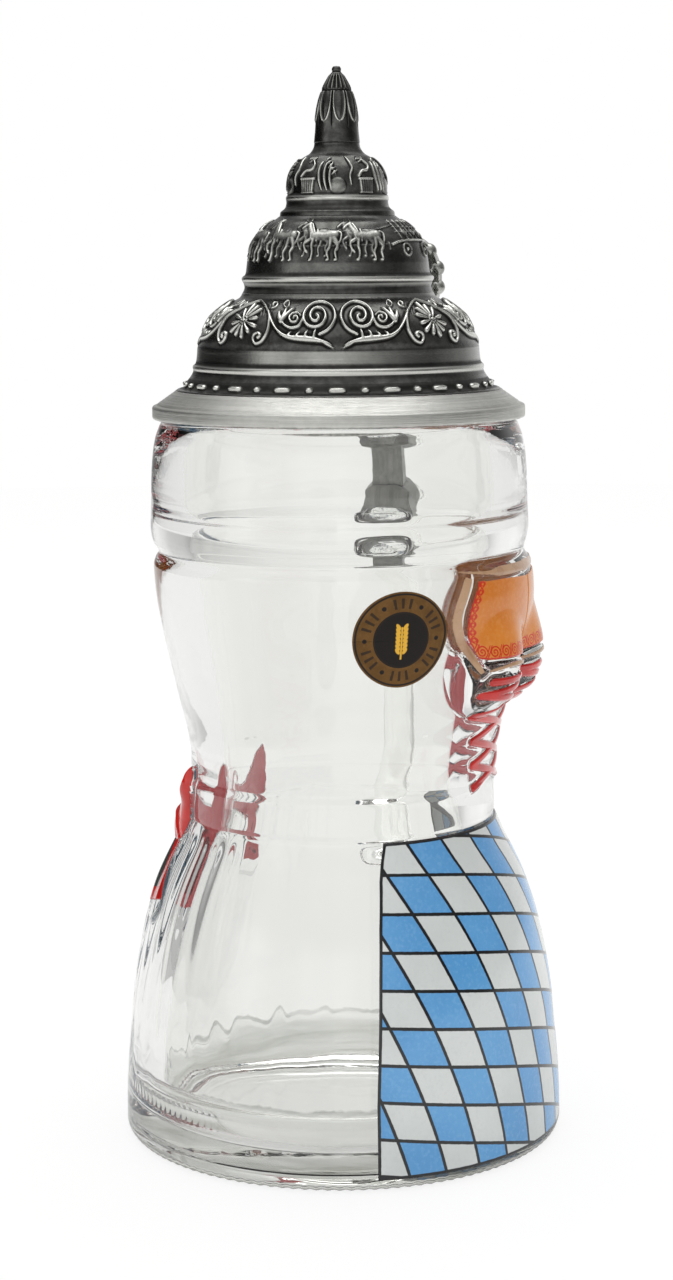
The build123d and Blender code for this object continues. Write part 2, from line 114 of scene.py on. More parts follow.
def catmull(points, step):
    """Points (any number of columns) along a smooth curve, about `step` apart."""
    p = np.asarray(points, float)
    if len(p) < 3:
        n = max(2, int(np.hypot(*(p[-1, :2] - p[0, :2])) / step) + 1)
        t = np.linspace(0, 1, n)[:, None]
        return p[0] * (1 - t) + p[-1] * t
    q = np.vstack([2 * p[0] - p[1], p, 2 * p[-1] - p[-2]])
    out = []
    for a, b, c, d in zip(q, q[1:], q[2:], q[3:]):
        n = max(2, int(np.hypot(*(c[:2] - b[:2])) / step) + 1)
        t = np.linspace(0, 1, n, endpoint=False)[:, None]
        out.append(0.5 * (2 * b + (c - a) * t + (2 * a - 5 * b + 4 * c - d) * t ** 2
                          + (3 * b - a - 3 * c + d) * t ** 3))
    out.append(p[-1:])
    return np.vstack(out)


def resample(points, step):
    """Polyline resampled at about `step`, keeping its corners."""
    p = np.asarray(points, float)
    out = [p[:1]]
    for a, b in zip(p, p[1:]):
        n = max(1, int(round(np.hypot(*(b - a)) / step)))
        t = np.linspace(0, 1, n + 1)[1:, None]
        out.append(a * (1 - t) + b * t)
    return np.vstack(out)


def arc_length(line):
    return np.concatenate([[0], np.cumsum(np.hypot(*np.diff(line, axis=0).T))])


def segment_distance(px, py, ax, ay, bx, by):
    """Distance from (px, py) to the segment a-b, and the place along it, 0 to 1."""
    vx, vy = bx - ax, by - ay
    t = np.clip(((px - ax) * vx + (py - ay) * vy) / (vx * vx + vy * vy + 1e-12), 0, 1)
    return np.hypot(px - ax - t * vx, py - ay - t * vy), t


# ------------------------------------------------------------------ meshes
def make_mesh(name, points, faces, attributes=None):
    """Smooth mesh from points in mm and a list of face arrays, each n x 3 or n x 4."""
    faces = [np.asarray(f, np.int32) for f in faces]
    mesh = bpy.data.meshes.new(name)
    points = np.asarray(points, np.float32) * MM
    loops = np.concatenate([f.ravel() for f in faces])
    totals = np.concatenate([np.full(len(f), f.shape[1], np.int32) for f in faces])
    starts = np.concatenate([[0], np.cumsum(totals)[:-1]]).astype(np.int32)
    mesh.vertices.add(len(points))
    mesh.vertices.foreach_set("co", points.ravel())
    mesh.loops.add(len(loops))
    mesh.loops.foreach_set("vertex_index", loops)
    mesh.polygons.add(len(totals))
    mesh.polygons.foreach_set("loop_start", starts)
    mesh.update(calc_edges=True)
    mesh.validate()
    mesh.polygons.foreach_set("use_smooth", np.ones(len(mesh.polygons), bool))
    for key, values in (attributes or {}).items():
        layer = mesh.attributes.new(key, "FLOAT", "POINT")
        layer.data.foreach_set("value", np.asarray(values, np.float32).ravel())
    mesh.update()
    return mesh


def link(name, data):
    ob = bpy.data.objects.new(name, data)
    bpy.context.scene.collection.objects.link(ob)
    return ob


def add_object(name, mesh, body, material, nodes):
    ob = link(name, mesh)
    ob.data.materials.append(material)
    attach(ob, body)
    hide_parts(*nodes)
    return ob


def grid(columns, rows, wrapped):
    """Quads of a grid with index = row * columns + column."""
    across = columns if wrapped else columns - 1
    j, i = np.meshgrid(np.arange(across), np.arange(rows - 1))
    j, i = j.ravel(), i.ravel()
    j2 = (j + 1) % columns
    return np.stack([i * columns + j, i * columns + j2,
                     (i + 1) * columns + j2, (i + 1) * columns + j], 1)


def capped_tube(rows, low_pole, high_pole):
    """Points and faces of rings (rows x columns x 3) closed by a fan at either end."""
    n, columns = rows.shape[:2]
    points = np.vstack([rows.reshape(-1, 3), [low_pole], [high_pole]])
    j = np.arange(columns)
    j2 = (j + 1) % columns
    low = np.stack([np.full(columns, n * columns), j2, j], 1)
    last = (n - 1) * columns
    high = np.stack([np.full(columns, n * columns + 1), last + j, last + j2], 1)
    return points, [grid(columns, n, True), low, high]


def fix_normals(mesh):
    bm = bmesh.new()
    bm.from_mesh(mesh)
    bmesh.ops.recalc_face_normals(bm, faces=bm.faces)
    bm.to_mesh(mesh)
    bm.free()


def turned_mesh(name, profile, columns, fields, on_axis=False):
    """Closed solid of revolution. The profile of (radius, z) is either a closed loop or,
    with on_axis, runs from the axis to the axis. fields(phi) gives the displacement along
    the normal and the attributes, as rows x columns arrays."""
    phi = np.arange(columns) * 360.0 / columns
    displacement, attributes = fields(phi)
    if on_axis:
        tangent = np.gradient(profile, axis=0)
    else:
        tangent = np.roll(profile, -1, 0) - np.roll(profile, 1, 0)
    tangent /= np.maximum(np.linalg.norm(tangent, axis=1), 1e-9)[:, None]
    radius = profile[:, :1] + displacement * tangent[:, 1:]
    z = profile[:, 1:] - displacement * tangent[:, :1]
    x, y = polar(LID_START - phi[None, :], radius)
    rows = np.stack([x, y, z], 2)
    if on_axis:
        points, faces = capped_tube(rows[1:-1], (0, 0, profile[0, 1]), (0, 0, profile[-1, 1]))
        attributes = {key: np.concatenate([v[1:-1].ravel(), [v[0].mean(), v[-1].mean()]])
                      for key, v in attributes.items()}
    else:
        points = rows.reshape(-1, 3)
        j = np.arange(columns)
        j2 = (j + 1) % columns
        last = (len(profile) - 1) * columns
        close = np.stack([last + j, last + j2, j2, j], 1)
        faces = [np.vstack([grid(columns, len(profile), True), close])]
    # phi runs against alpha, so the faces are turned to look outwards
    mesh = make_mesh(name, points, [f[:, ::-1] for f in faces], attributes)
    fix_normals(mesh)
    return mesh


# ------------------------------------------------------------------ shader graphs
def operator(operation, swapped=False):
    def method(self, other=0.0):
        pair = (other, self) if swapped else (self, other)
        return self.graph.math(operation, *pair)
    return method


class Value:
    """A shader output; arithmetic on it makes Math nodes."""

    def __init__(self, graph, socket):
        self.graph, self.socket = graph, socket

    __add__, __radd__ = operator("ADD"), operator("ADD", swapped=True)
    __sub__, __rsub__ = operator("SUBTRACT"), operator("SUBTRACT", swapped=True)
    __mul__, __rmul__ = operator("MULTIPLY"), operator("MULTIPLY", swapped=True)
    __truediv__ = operator("DIVIDE")
    __pow__ = operator("POWER")
    __abs__ = operator("ABSOLUTE")


class Graph:
    """Builds the node tree of a material or a world."""

    def __init__(self, owner):
        owner.use_nodes = True
        self.owner, self.tree = owner, owner.node_tree

    def put(self, socket, value):
        if isinstance(value, Value):
            self.tree.links.new(value.socket, socket)
        elif isinstance(value, tuple) and socket.type == "RGBA":
            socket.default_value = (*value, 1)
        else:
            socket.default_value = value

    def node(self, kind, inputs, **settings):
        node = self.tree.nodes.new(kind)
        for key, value in settings.items():
            setattr(node, key, value)
        for key, value in inputs.items():
            self.put(node.inputs[key], value)
        return node

    def make(self, kind, output, inputs, **settings):
        return Value(self, self.node(kind, inputs, **settings).outputs[output])

    def surface(self, **inputs):
        """Sets inputs of the Principled shader; underscores stand for spaces."""
        shader = self.tree.nodes["Principled BSDF"]
        for key, value in inputs.items():
            self.put(shader.inputs[key.replace("_", " ")], value)

    def attribute(self, name):
        return self.make("ShaderNodeAttribute", "Fac", {}, attribute_name=name)

    def coordinates(self, kind="Object"):
        return self.make("ShaderNodeTexCoord", kind, {})

    def split(self, vector):
        node = self.node("ShaderNodeSeparateXYZ", {0: vector})
        return [Value(self, socket) for socket in node.outputs]

    def join(self, x, y, z):
        return self.make("ShaderNodeCombineXYZ", 0, {0: x, 1: y, 2: z})

    def math(self, operation, first, second=0.0):
        return self.make("ShaderNodeMath", 0, {0: first, 1: second}, operation=operation)

    def length(self, x, y):
        return self.math("SQRT", x * x + y * y)

    def mix(self, share, first, second, blend="MIX"):
        """Colour mix."""
        return self.make("ShaderNodeMix", 2, {0: share, 6: first, 7: second},
                         data_type="RGBA", blend_type=blend)

    def blend(self, share, first, second):
        """Number mix."""
        return self.make("ShaderNodeMix", 0, {0: share, 2: first, 3: second},
                         data_type="FLOAT")

    def noise(self, vector, scale, detail=3.0, rough=0.55):
        return self.make("ShaderNodeTexNoise", "Fac", {
            "Vector": vector, "Scale": scale, "Detail": detail, "Roughness": rough})

    def fade(self, value, start, end, low=0.0, high=1.0):
        """Smooth change from low at start to high at end."""
        return self.make("ShaderNodeMapRange", 0,
                         {0: value, 1: start, 2: end, 3: low, 4: high},
                         interpolation_type="SMOOTHSTEP")

    def bump(self, height, strength, distance, normal=None):
        inputs = {"Strength": strength, "Distance": distance, "Height": height}
        if normal is not None:
            inputs["Normal"] = normal
        return self.make("ShaderNodeBump", 0, inputs)

    def ramp(self, value, stops):
        """Grey ramp through (position, brightness)."""
        node = self.node("ShaderNodeValToRGB", {0: value})
        ramp = node.color_ramp
        ramp.interpolation = "EASE"
        ramp.elements.remove(ramp.elements[-1])
        for k, (position, grey) in enumerate(stops):
            stop = ramp.elements[0] if k == 0 else ramp.elements.new(position)
            stop.position = position
            stop.color = (grey, grey, grey, 1)
        return Value(self, node.outputs[0])


def new_material(name):
    return Graph(bpy.data.materials.new(name))


# ------------------------------------------------------------------ materials
def glass_material():
    mat = new_material("clear_pressed_glass")
    place = mat.coordinates()
    # slow waves left by the mould, then a finer ripple
    waves = mat.noise(place, scale=26.0, detail=2.0, rough=0.4)
    fine = mat.noise(place, scale=140.0, detail=2.0, rough=0.5)
    normal = mat.bump(waves, strength=0.14, distance=0.0020)
    normal = mat.bump(fine, strength=0.10, distance=0.00022, normal=normal)
    smear = mat.fade(mat.noise(place, scale=60.0, detail=4.0, rough=0.6),
                     start=0.55, end=0.8, high=0.016)
    # painted shade: the thick foot is given a greyish olive cast with level streaks, standing for
    # what is seen through it by refraction and reflection
    x, y, z = mat.split(place)
    radius = mat.length(x, y)
    painted_foot_shade = (mat.fade(z, start=0.0085, end=0.0135, low=1.0, high=0.0)
             * mat.fade(radius, start=0.0480, end=0.0505))
    level = mat.join(x * 22.0, y * 22.0, z * 240.0)
    painted_streaks = mat.fade(mat.noise(level, scale=1.0, detail=3.0, rough=0.6),
                      start=0.35, end=0.65, low=0.40)
    tone = mat.mix(painted_foot_shade * painted_streaks, (0.975, 0.979, 0.960), (0.37, 0.38, 0.325))
    # inside, a wavy painted grey line marks where the thin wall meets the foot, with painted grey
    # shade below it, standing for refraction and reflection at the mould ridge; its ripples stay
    # at the back
    angle = mat.math("ARCTAN2", x * -1.0, y * -1.0)
    back = mat.fade(mat.math("COSINE", angle - math.radians(196.0)), start=0.469, end=0.829)
    ripple = (mat.math("COSINE", angle * 25.0 + math.radians(40.0)) * 0.0012
              + mat.math("COSINE", angle * 41.0) * 0.0007)
    ragged = (mat.noise(place, scale=260.0, detail=3.0, rough=0.6) - 0.5) * 0.0022
    above = z - (0.0167 + (ragged + ripple * back))
    inner = mat.fade(radius, start=0.0465, end=0.0475, low=1.0, high=0.0)
    line = mat.fade(abs(above), start=0.00022, end=0.00085, low=1.0, high=0.0) * inner
    painted_belt_shade = (mat.fade(above, start=-0.0008, end=0.0, low=1.0, high=0.0) * inner
            * mat.fade(radius, start=0.0395, end=0.0415))
    tone = mat.mix(painted_belt_shade * painted_streaks, tone, (0.74, 0.75, 0.725))
    strength = line * mat.fade(painted_streaks, start=0.4, end=1.0, low=0.5, high=0.95)
    # mixes in the painted grey mould line
    tone = mat.mix(strength, tone, (0.27, 0.28, 0.26))
    mat.surface(Base_Color=tone, Roughness=smear, Normal=normal, IOR=1.50,
                Transmission_Weight=1.0)
    return mat.owner


def pewter_material(name, ground=0.074, high=0.62, rough=0.26, cast=0.8, line=0.0,
                    bright=0.62, polish=(0.14, 0.30)):
    """Cast pewter: dark patina in the recesses, worn bright on the high spots, with turned
    bands (attribute band) polished to a fine circumferential grain. ground, high and bright
    are tones of the patina, the worn spots and the bands; cast and line are the depths of
    the cast and the turned grain; polish is the range of roughness on the bands."""
    mat = new_material(name)
    place = mat.coordinates()
    x, y, z = mat.split(place)
    # squeezing the angle draws the noise out into rings
    turned = mat.join(mat.length(x, y) * 1.0, z * 1.0, mat.math("ARCTAN2", y, x) * 0.0006)
    rings = mat.noise(turned, scale=5200.0, detail=3.0, rough=0.7)
    broad_rings = mat.noise(turned, scale=1400.0, detail=2.0, rough=0.6)
    cavity, relief, band = (mat.attribute(key) for key in ("cavity", "relief", "band"))
    mottle = mat.noise(place, scale=420.0, detail=4.0, rough=0.65)
    fine = mat.noise(place, scale=1500.0, detail=3.0, rough=0.6)
    cloud = mat.noise(place, scale=70.0, detail=3.0, rough=0.6)
    # tone: ground, lifted on relief and edges, sunk in cavities
    lift = relief * 0.9 + cavity * 2.4 + (mottle - 0.5) * 0.35
    worn = mat.fade(lift, start=0.18, end=0.95)
    sunk = mat.fade(cavity * -1.0, start=0.02, end=0.16)
    tone = mat.blend(mat.fade(mottle, start=0.35, end=0.7), ground * 0.72, ground * 1.35)
    tone = mat.blend(mat.fade(cloud, start=0.35, end=0.7), tone, tone * 1.25)
    tone = mat.blend(worn, tone, high)
    tone = mat.blend(sunk, tone, 0.018)
    polished = mat.blend(mat.fade(broad_rings, start=0.3, end=0.75), bright * 0.78, bright)
    tone = mat.blend(band, tone, polished)
    warm = (1.0, 0.998, 0.945)
    colour = mat.mix(1.0, warm, mat.join(tone, tone, tone), "MULTIPLY")
    roughness = mat.blend(worn, rough, 0.25)
    roughness = mat.blend(sunk, roughness, 0.6)
    roughness = mat.blend(band, roughness, mat.blend(rings, *polish))
    grain = fine * cast + mottle * (0.6 * cast)
    height = mat.blend(band, grain, rings * (0.55 + line)) + rings * line
    mat.surface(Base_Color=colour, Metallic=1.0, Roughness=roughness,
                Normal=mat.bump(height, strength=0.45, distance=0.00012))
    return mat.owner


def enamel_material(name, colour, dark, back, rough, light=None, striped=False):
    """Fired enamel on glass: slight pooling, pinholes and a glossy skin. `back` is the
    colour of the inner face, seen through the glass; it is painted paler than the front
    and glows faintly, as painted light for daylight passing through the film."""
    mat = new_material(name)
    place = mat.coordinates()
    pool = mat.noise(place, scale=190.0, detail=3.0, rough=0.55)
    cells = mat.make("ShaderNodeTexVoronoi", "Distance", {"Vector": place, "Scale": 900.0})
    speck = mat.fade(cells, start=0.05, end=0.12)
    tone = mat.mix(mat.fade(pool, start=0.3, end=0.72), dark, colour)
    if light:
        patches = mat.noise(place, scale=55.0, detail=2.0)
        tone = mat.mix(mat.fade(patches, start=0.5, end=0.75), tone, light)
    tone = mat.mix(speck, dark, tone)
    # painted light: the inner face takes a paler, uneven colour standing for daylight through the
    # film
    uneven = mat.noise(place, scale=330.0, detail=3.0, rough=0.6)
    backlit_tone = mat.mix(mat.fade(uneven, start=0.3, end=0.7), back,
                   tuple(min(1.0, channel * 1.25) for channel in back))
    behind = mat.attribute("back")
    tone = mat.mix(mat.fade(behind, start=0.55, end=0.9), tone, backlit_tone)
    if striped:
        stripe = mat.fade(mat.attribute("stripe"), start=0.35, end=0.6)
        tone = mat.mix(stripe, tone, (0.045, 0.050, 0.048))
    # the emission stands for daylight passing through the thin film
    mat.surface(Base_Color=tone, Roughness=mat.blend(pool, rough * 0.7, rough * 1.8),
                Normal=mat.bump(pool, strength=0.35, distance=0.0003),
                Emission_Color=backlit_tone,
                Emission_Strength=mat.fade(mat.attribute("back"), start=0.55, end=0.9, high=0.09),
                IOR=1.5, Coat_Weight=0.35)
    return mat.owner


def apron_material():
    """Blue and white lozenges between black lines."""
    mat = new_material("apron_print")
    place = mat.coordinates()
    u, v, u_slope, v_slope, edge = (mat.attribute(key)
                                    for key in ("pu", "pv", "pgu", "pgv", "pedge"))
    off_u = u - mat.math("ROUND", u)
    off_v = v - mat.math("ROUND", v)
    wobble = (mat.noise(place, scale=900.0, detail=2.0) - 0.5) * 0.16
    # distance in mm to the nearest printed line or to the border
    distance = mat.math("MINIMUM", abs(off_u) / u_slope, abs(off_v) / v_slope)
    distance = mat.math("MINIMUM", distance, edge - 0.34)
    line = mat.fade(distance + wobble, start=0.30, end=0.46, low=1.0, high=0.0)
    parity = mat.math("FLOOR", u) + mat.math("FLOOR", v) + 1.0
    parity = mat.math("PINGPONG", parity, 1.0)
    cloud = mat.noise(place, scale=38.0, detail=3.0, rough=0.55)
    fine = mat.noise(place, scale=1200.0, detail=2.0, rough=0.5)
    blue = mat.mix(mat.fade(cloud, start=0.3, end=0.7),
                   (0.085, 0.305, 0.620), (0.125, 0.370, 0.690))
    blue = mat.mix(mat.fade(fine, start=0.45, end=0.75) * 0.35, blue, (0.22, 0.47, 0.76))
    white = mat.mix(mat.fade(cloud, start=0.3, end=0.7),
                    (0.60, 0.635, 0.620), (0.68, 0.71, 0.695))
    white = mat.mix(mat.fade(fine, start=0.45, end=0.75) * 0.25, white, (0.55, 0.57, 0.565))
    colour = mat.mix(line, mat.mix(parity, blue, white), (0.006, 0.006, 0.007))
    height = line * 0.6 + fine * 0.35
    mat.surface(Base_Color=colour, Roughness=mat.blend(cloud, 0.12, 0.24),
                Normal=mat.bump(height, strength=0.3, distance=0.00008), Coat_Weight=0.3)
    return mat.owner


def panel_material():
    """Orange ground with red ink."""
    mat = new_material("bodice_print")
    place = mat.coordinates()
    cloud = mat.noise(place, scale=60.0, detail=3.0, rough=0.55)
    fine = mat.noise(place, scale=1100.0, detail=2.0, rough=0.5)
    orange = mat.mix(mat.fade(cloud, start=0.3, end=0.7),
                     (0.590, 0.170, 0.018), (0.690, 0.240, 0.036))
    orange = mat.mix(mat.fade(fine, start=0.4, end=0.75) * 0.3, orange, (0.70, 0.33, 0.10))
    ink = mat.fade(mat.attribute("ink") + (fine - 0.5) * 0.25, start=0.35, end=0.6)
    height = ink * 0.6 + fine * 0.3
    mat.surface(Base_Color=mat.mix(ink, orange, (0.560, 0.028, 0.010)),
                Roughness=mat.blend(cloud, 0.12, 0.26), Specular_IOR_Level=0.35,
                Normal=mat.bump(height, strength=0.35, distance=0.00010), Coat_Weight=0.2)
    return mat.owner


LABEL_RADIUS = 11.25
LABEL_DRAWN_RADIUS = 10.6       # radius at which the label's rings are laid out


def label_material():
    """Bronze disc with two rings, dots and bars between them, and a dark centre."""
    mat = new_material("bronze_label")
    place = mat.coordinates()
    turn = mat.attribute("lth")
    radius = mat.attribute("lr") * (LABEL_DRAWN_RADIUS / LABEL_RADIUS)
    mottle = mat.noise(place, scale=300.0, detail=3.0, rough=0.6)
    fine = mat.noise(place, scale=1500.0, detail=2.0, rough=0.5)
    bronze = mat.mix(mat.fade(mottle, start=0.3, end=0.7),
                     (0.112, 0.052, 0.012), (0.160, 0.078, 0.020))
    bronze = mat.mix(mat.fade(fine, start=0.5, end=0.8) * 0.4, bronze, (0.20, 0.110, 0.035))

    def ring(at, width):
        return mat.fade(abs(radius - at), start=width * 0.7, end=width * 1.3,
                        low=1.0, high=0.0)

    dark = mat.math("MAXIMUM", ring(at=10.05, width=0.20), ring(at=6.05, width=0.17))
    tick = abs(mat.math("SINE", turn * 15.0))
    between = (mat.fade(radius, start=6.9, end=7.0)
               * mat.fade(radius, start=9.1, end=9.2, low=1.0, high=0.0))
    # six dots on a circle, with bars filling the gaps
    sixth, dot_circle = math.pi / 3, 8.05
    along = (turn / sixth - mat.math("ROUND", turn / sixth)) * (sixth * dot_circle)
    dot = mat.math("SQRT", along ** 2.0 + (radius - dot_circle) ** 2.0)
    dark = mat.math("MAXIMUM", dark, mat.fade(dot, start=0.42, end=0.56, low=1.0, high=0.0))
    bars = mat.fade(tick, start=0.80, end=0.90) * (between * mat.fade(dot, start=1.5, end=1.6))
    dark = mat.math("MAXIMUM", dark, bars * 0.8)
    colour = mat.mix(dark, bronze, (0.012, 0.009, 0.007))
    centre = mat.fade(radius, start=5.85, end=5.95, low=1.0, high=0.0)
    colour = mat.mix(centre, colour, (0.014, 0.011, 0.010))
    colour = mat.mix(mat.attribute("lmark") * centre, colour, (0.78, 0.44, 0.05))
    mat.surface(Base_Color=colour, Roughness=mat.blend(mottle, 0.42, 0.6),
                Metallic=(1.0 - dark) * 0.25, Specular_IOR_Level=0.22,
                Normal=mat.bump(mottle + dark, strength=0.25, distance=0.00006))
    return mat.owner


MAT_GLASS = glass_material()
MAT_ANTIQUE = pewter_material("antique_pewter")
MAT_RIM = pewter_material("brushed_pewter", ground=0.46, high=0.66, rough=0.38, cast=0.15,
                          line=0.8, bright=0.60, polish=(0.30, 0.46))
MAT_CAST = pewter_material("cast_pewter", ground=0.36, high=0.75, rough=0.26, cast=0.8)
MAT_STRAP = pewter_material("dull_pewter", ground=0.15, high=0.34, rough=0.36, cast=0.9)

# ------------------------------------------------------------------ glass shape
# Outer wall, (radius, z)
SKIRT = [(52.70, 2.8), (52.62, 9.0), (52.35, 14.5), (51.95, 20.0), (51.35, 26.0),
         (50.80, 32.5), (50.00, 38.5), (48.80, 45.0), (47.35, 51.5), (45.75, 57.0),
         (43.75, 62.5), (41.45, 67.5), (39.00, 72.3), (37.05, 76.7)]
WAIST = [(36.55, 77.5), (36.75, 78.4), (36.75, 81.5), (36.70, 85.6), (36.45, 86.5)]
TORSO = [(36.00, 87.6), (35.95, 92.0), (36.60, 97.0), (38.20, 104.0), (40.00, 112.0),
         (41.60, 119.0), (43.00, 126.5), (43.80, 132.5), (44.10, 137.6)]
GROOVE = [(43.60, 139.4), (42.90, 140.8), (43.50, 142.1), (44.25, 143.5)]
DRUM = [(44.72, 146.8), (44.52, 152.0), (44.35, 158.0), (43.95, 163.5), (43.25, 167.6),
        (42.40, 169.9)]
WALL_RADIUS, WALL_Z = np.array(SKIRT + WAIST + TORSO + GROOVE + DRUM).T
# Underside from the centre out to the wall, (radius, z)
FOOT = [(0.6, 1.5), (10, 1.5), (20, 1.5), (30, 1.5), (38, 1.5), (41.0, 1.5), (42.6, 0.9),
        (43.8, 0.22), (44.8, 0.02), (45.6, 0.0), (46.4, 0.0), (47.2, 0.0), (48.0, 0.0),
        (48.8, 0.0), (49.6, 0.02), (50.4, 0.12), (51.1, 0.34), (51.7, 0.72), (52.15, 1.2),
        (52.45, 1.75), (52.62, 2.3)]
# Rounded mouth from outside to inside, (radius, z)
MOUTH = [(42.33, 170.1), (42.15, 170.55), (41.85, 171.0), (41.4, 171.35), (40.9, 171.58),
         (40.3, 171.68), (39.6, 171.7), (38.9, 171.62), (38.2, 171.4), (37.6, 171.0),
         (37.15, 170.5)]
# Inner wall downwards, then the inner floor to the centre, (radius, z)
CAVITY = [(36.90, 169.9), (36.75, 164.0), (36.60, 157.0), (36.50, 151.8), (36.15, 149.8),
          (35.55, 148.4), (35.25, 146.6), (35.10, 142.5), (34.50, 137.0), (33.30, 130.0),
          (31.50, 120.0), (29.50, 109.0), (28.10, 98.0), (27.60, 88.0), (28.10, 79.0),
          (30.60, 70.0), (34.80, 60.0), (38.80, 48.0), (41.80, 36.0), (43.60, 24.0),
          (44.20, 14.5)]
INNER_FLOOR = [(44.20, 14.5), (43.75, 13.0), (42.9, 10.4), (42.2, 8.6), (41.2, 7.2),
               (39.6, 6.35), (37.0, 5.8), (30.0, 5.3), (22.0, 5.1), (14.0, 5.03), (7.0, 5.0),
               (0.6, 5.0)]
# Ellipsoids of the bust: alpha, radius and z of the centre, half sizes (radial, sideways, up)
BUST = [(0.0, 30.8, 130.0, (14.3, 27.0, 18.6)),
        (-17.0, 34.3, 117.6, (13.7, 13.4, 14.2)),
        (17.0, 34.3, 117.6, (13.7, 13.4, 14.2))]
# Centre lines of raised bands, (alpha, z); the rib is mirrored across the front
RIB = [(32.6, 137.9), (34.6, 134.0), (36.3, 130.6), (36.6, 127.4), (34.6, 123.6),
       (31.6, 120.1), (29.2, 116.9), (27.9, 115.4)]
NECK = [(-35.0, 138.9), (-22.0, 138.2), (0.0, 138.2), (22.0, 138.2), (35.0, 138.9)]
HEM = [(-26.6, 116.0), (-16.0, 117.0), (0.0, 116.0), (16.0, 117.0), (26.6, 116.0)]
# One lace zigzags up the front; a mirrored one crosses it, and a level one closes the top
LACE = [(-16.5, 86.6), (17.5, 92.0), (-19.5, 98.0), (23.0, 104.4), (-26.0, 110.0),
        (12.0, 113.6)]
LACES = [((side * a, b), (side * c, d)) for side in (1, -1)
         for (a, b), (c, d) in zip(LACE, LACE[1:])]
LACES.append(((-24.0, 113.2), (24.0, 113.2)))
LACE_HALF = 0.85
# Bow at the back: centre line of the figure's right tail and its stripe, (alpha, z)
TAIL = [(158.0, 76.8), (153.8, 73.0), (151.9, 68.5), (150.2, 63.5), (148.5, 58.0)]
STRIPE = [(160.0, 76.8), (156.2, 73.0), (154.4, 68.5), (152.9, 63.5), (151.4, 58.0)]
# Outline of each loop, (degrees from the back, z): a neck from the knot, then a tall wing
LOOP_RIGHT = [(1.0, 78.0), (10.0, 76.9), (16.0, 75.6), (22.0, 73.6), (27.0, 72.0),
              (31.5, 72.2), (34.6, 74.2), (36.2, 77.8), (36.6, 82.0), (37.4, 86.6),
              (37.3, 89.6), (36.2, 90.8), (33.6, 89.6), (30.4, 86.8), (27.6, 83.6),
              (24.4, 80.8), (18.0, 80.6), (10.0, 81.4), (1.0, 82.4)]
LOOP_LEFT = [(1.0, 78.0), (10.0, 76.9), (16.0, 76.0), (22.0, 75.2), (28.0, 75.0),
             (31.4, 77.0), (32.4, 81.0), (32.8, 86.0), (32.6, 90.5), (32.0, 94.2),
             (30.4, 93.6), (27.0, 91.6), (24.0, 89.0), (21.0, 86.0), (18.6, 83.0),
             (15.0, 81.2), (10.0, 81.0), (1.0, 82.4)]
# Bodice panel: alpha of its outer side over z, z of its lower edge over alpha
PANEL_SIDE = ([117.0, 119.2, 121.1, 123.5, 125.8, 128.0, 130.2, 132.4, 135.2, 136.6],
              [26.5, 29.0, 30.3, 31.8, 32.5, 32.6, 32.2, 31.0, 29.2, 28.6])
PANEL_LOW = ([0.0, 4.0, 12.0, 20.0, 26.0, 29.0, 34.0],
             [117.9, 118.1, 118.6, 118.6, 118.6, 119.0, 121.0])
# Millimetres per degree, taken as constant over each feature
BAND_SCALE, LACE_SCALE, LOOP_SCALE, PANEL_SCALE = 0.75, 0.66, 0.65, 0.78
# Handle centre line in the plane y = 0, (x, z)
HANDLE = [(38.0, 136.9), (40.0, 137.6), (52.0, 140.2), (64.0, 139.4), (74.6, 131.0),
          (79.6, 115.5), (78.2, 98.0), (70.4, 80.0), (57.5, 65.5), (44.5, 56.5), (41.0, 54.6)]
HANDLE_HALF_WIDTH, HANDLE_HALF_THICKNESS = 6.7, 5.3


def exit_radius(alpha, z, ellipsoid):
    """Radius at which a level ray from the axis leaves an ellipsoid."""
    alpha0, radius0, z0, (depth, width, height) = ellipsoid
    turn = np.radians(alpha - alpha0)
    cosine, sine = np.cos(turn), np.sin(turn)
    square = cosine ** 2 / depth ** 2 + sine ** 2 / width ** 2
    linear = -2 * radius0 * cosine / depth ** 2
    constant = radius0 ** 2 / depth ** 2 + (z - z0) ** 2 / height ** 2 - 1
    disc = linear * linear - 4 * square * constant
    radius = (-linear + np.sqrt(np.clip(disc, 0, None))) / (2 * square)
    return np.where((disc > 0) & (cosine > 0), radius, 0.0)


def band_distance(alpha, z, points):
    """Distance in mm to a curve of (alpha, z), and the place along it, 0 to 1."""
    line = catmull(points, 0.8)
    line[:, 0] *= BAND_SCALE
    best = np.full(alpha.shape, 1e9)
    where = np.zeros(alpha.shape)
    length = arc_length(line)
    for k in range(len(line) - 1):
        distance, t = segment_distance(alpha * BAND_SCALE, z, *line[k], *line[k + 1])
        near = distance < best
        best = np.where(near, distance, best)
        where = np.where(near, (length[k] + t * (length[k + 1] - length[k])) / length[-1],
                         where)
    return best, where


def loop_inside(side, z, outline):
    """Signed distance in mm to a loop's outline, positive inside."""
    corners = np.array(outline, float)
    corners[:, 0] *= LOOP_SCALE
    px = side * LOOP_SCALE
    best = np.full(side.shape, 1e9)
    odd = np.zeros(side.shape, bool)
    for (ax, ay), (bx, by) in zip(corners, np.roll(corners, -1, 0)):
        best = np.minimum(best, segment_distance(px, z, ax, ay, bx, by)[0])
        odd ^= ((ay > z) != (by > z)) & (px < (z - ay) * (bx - ax) / (by - ay) + ax)
    return np.where(odd, best, -best)


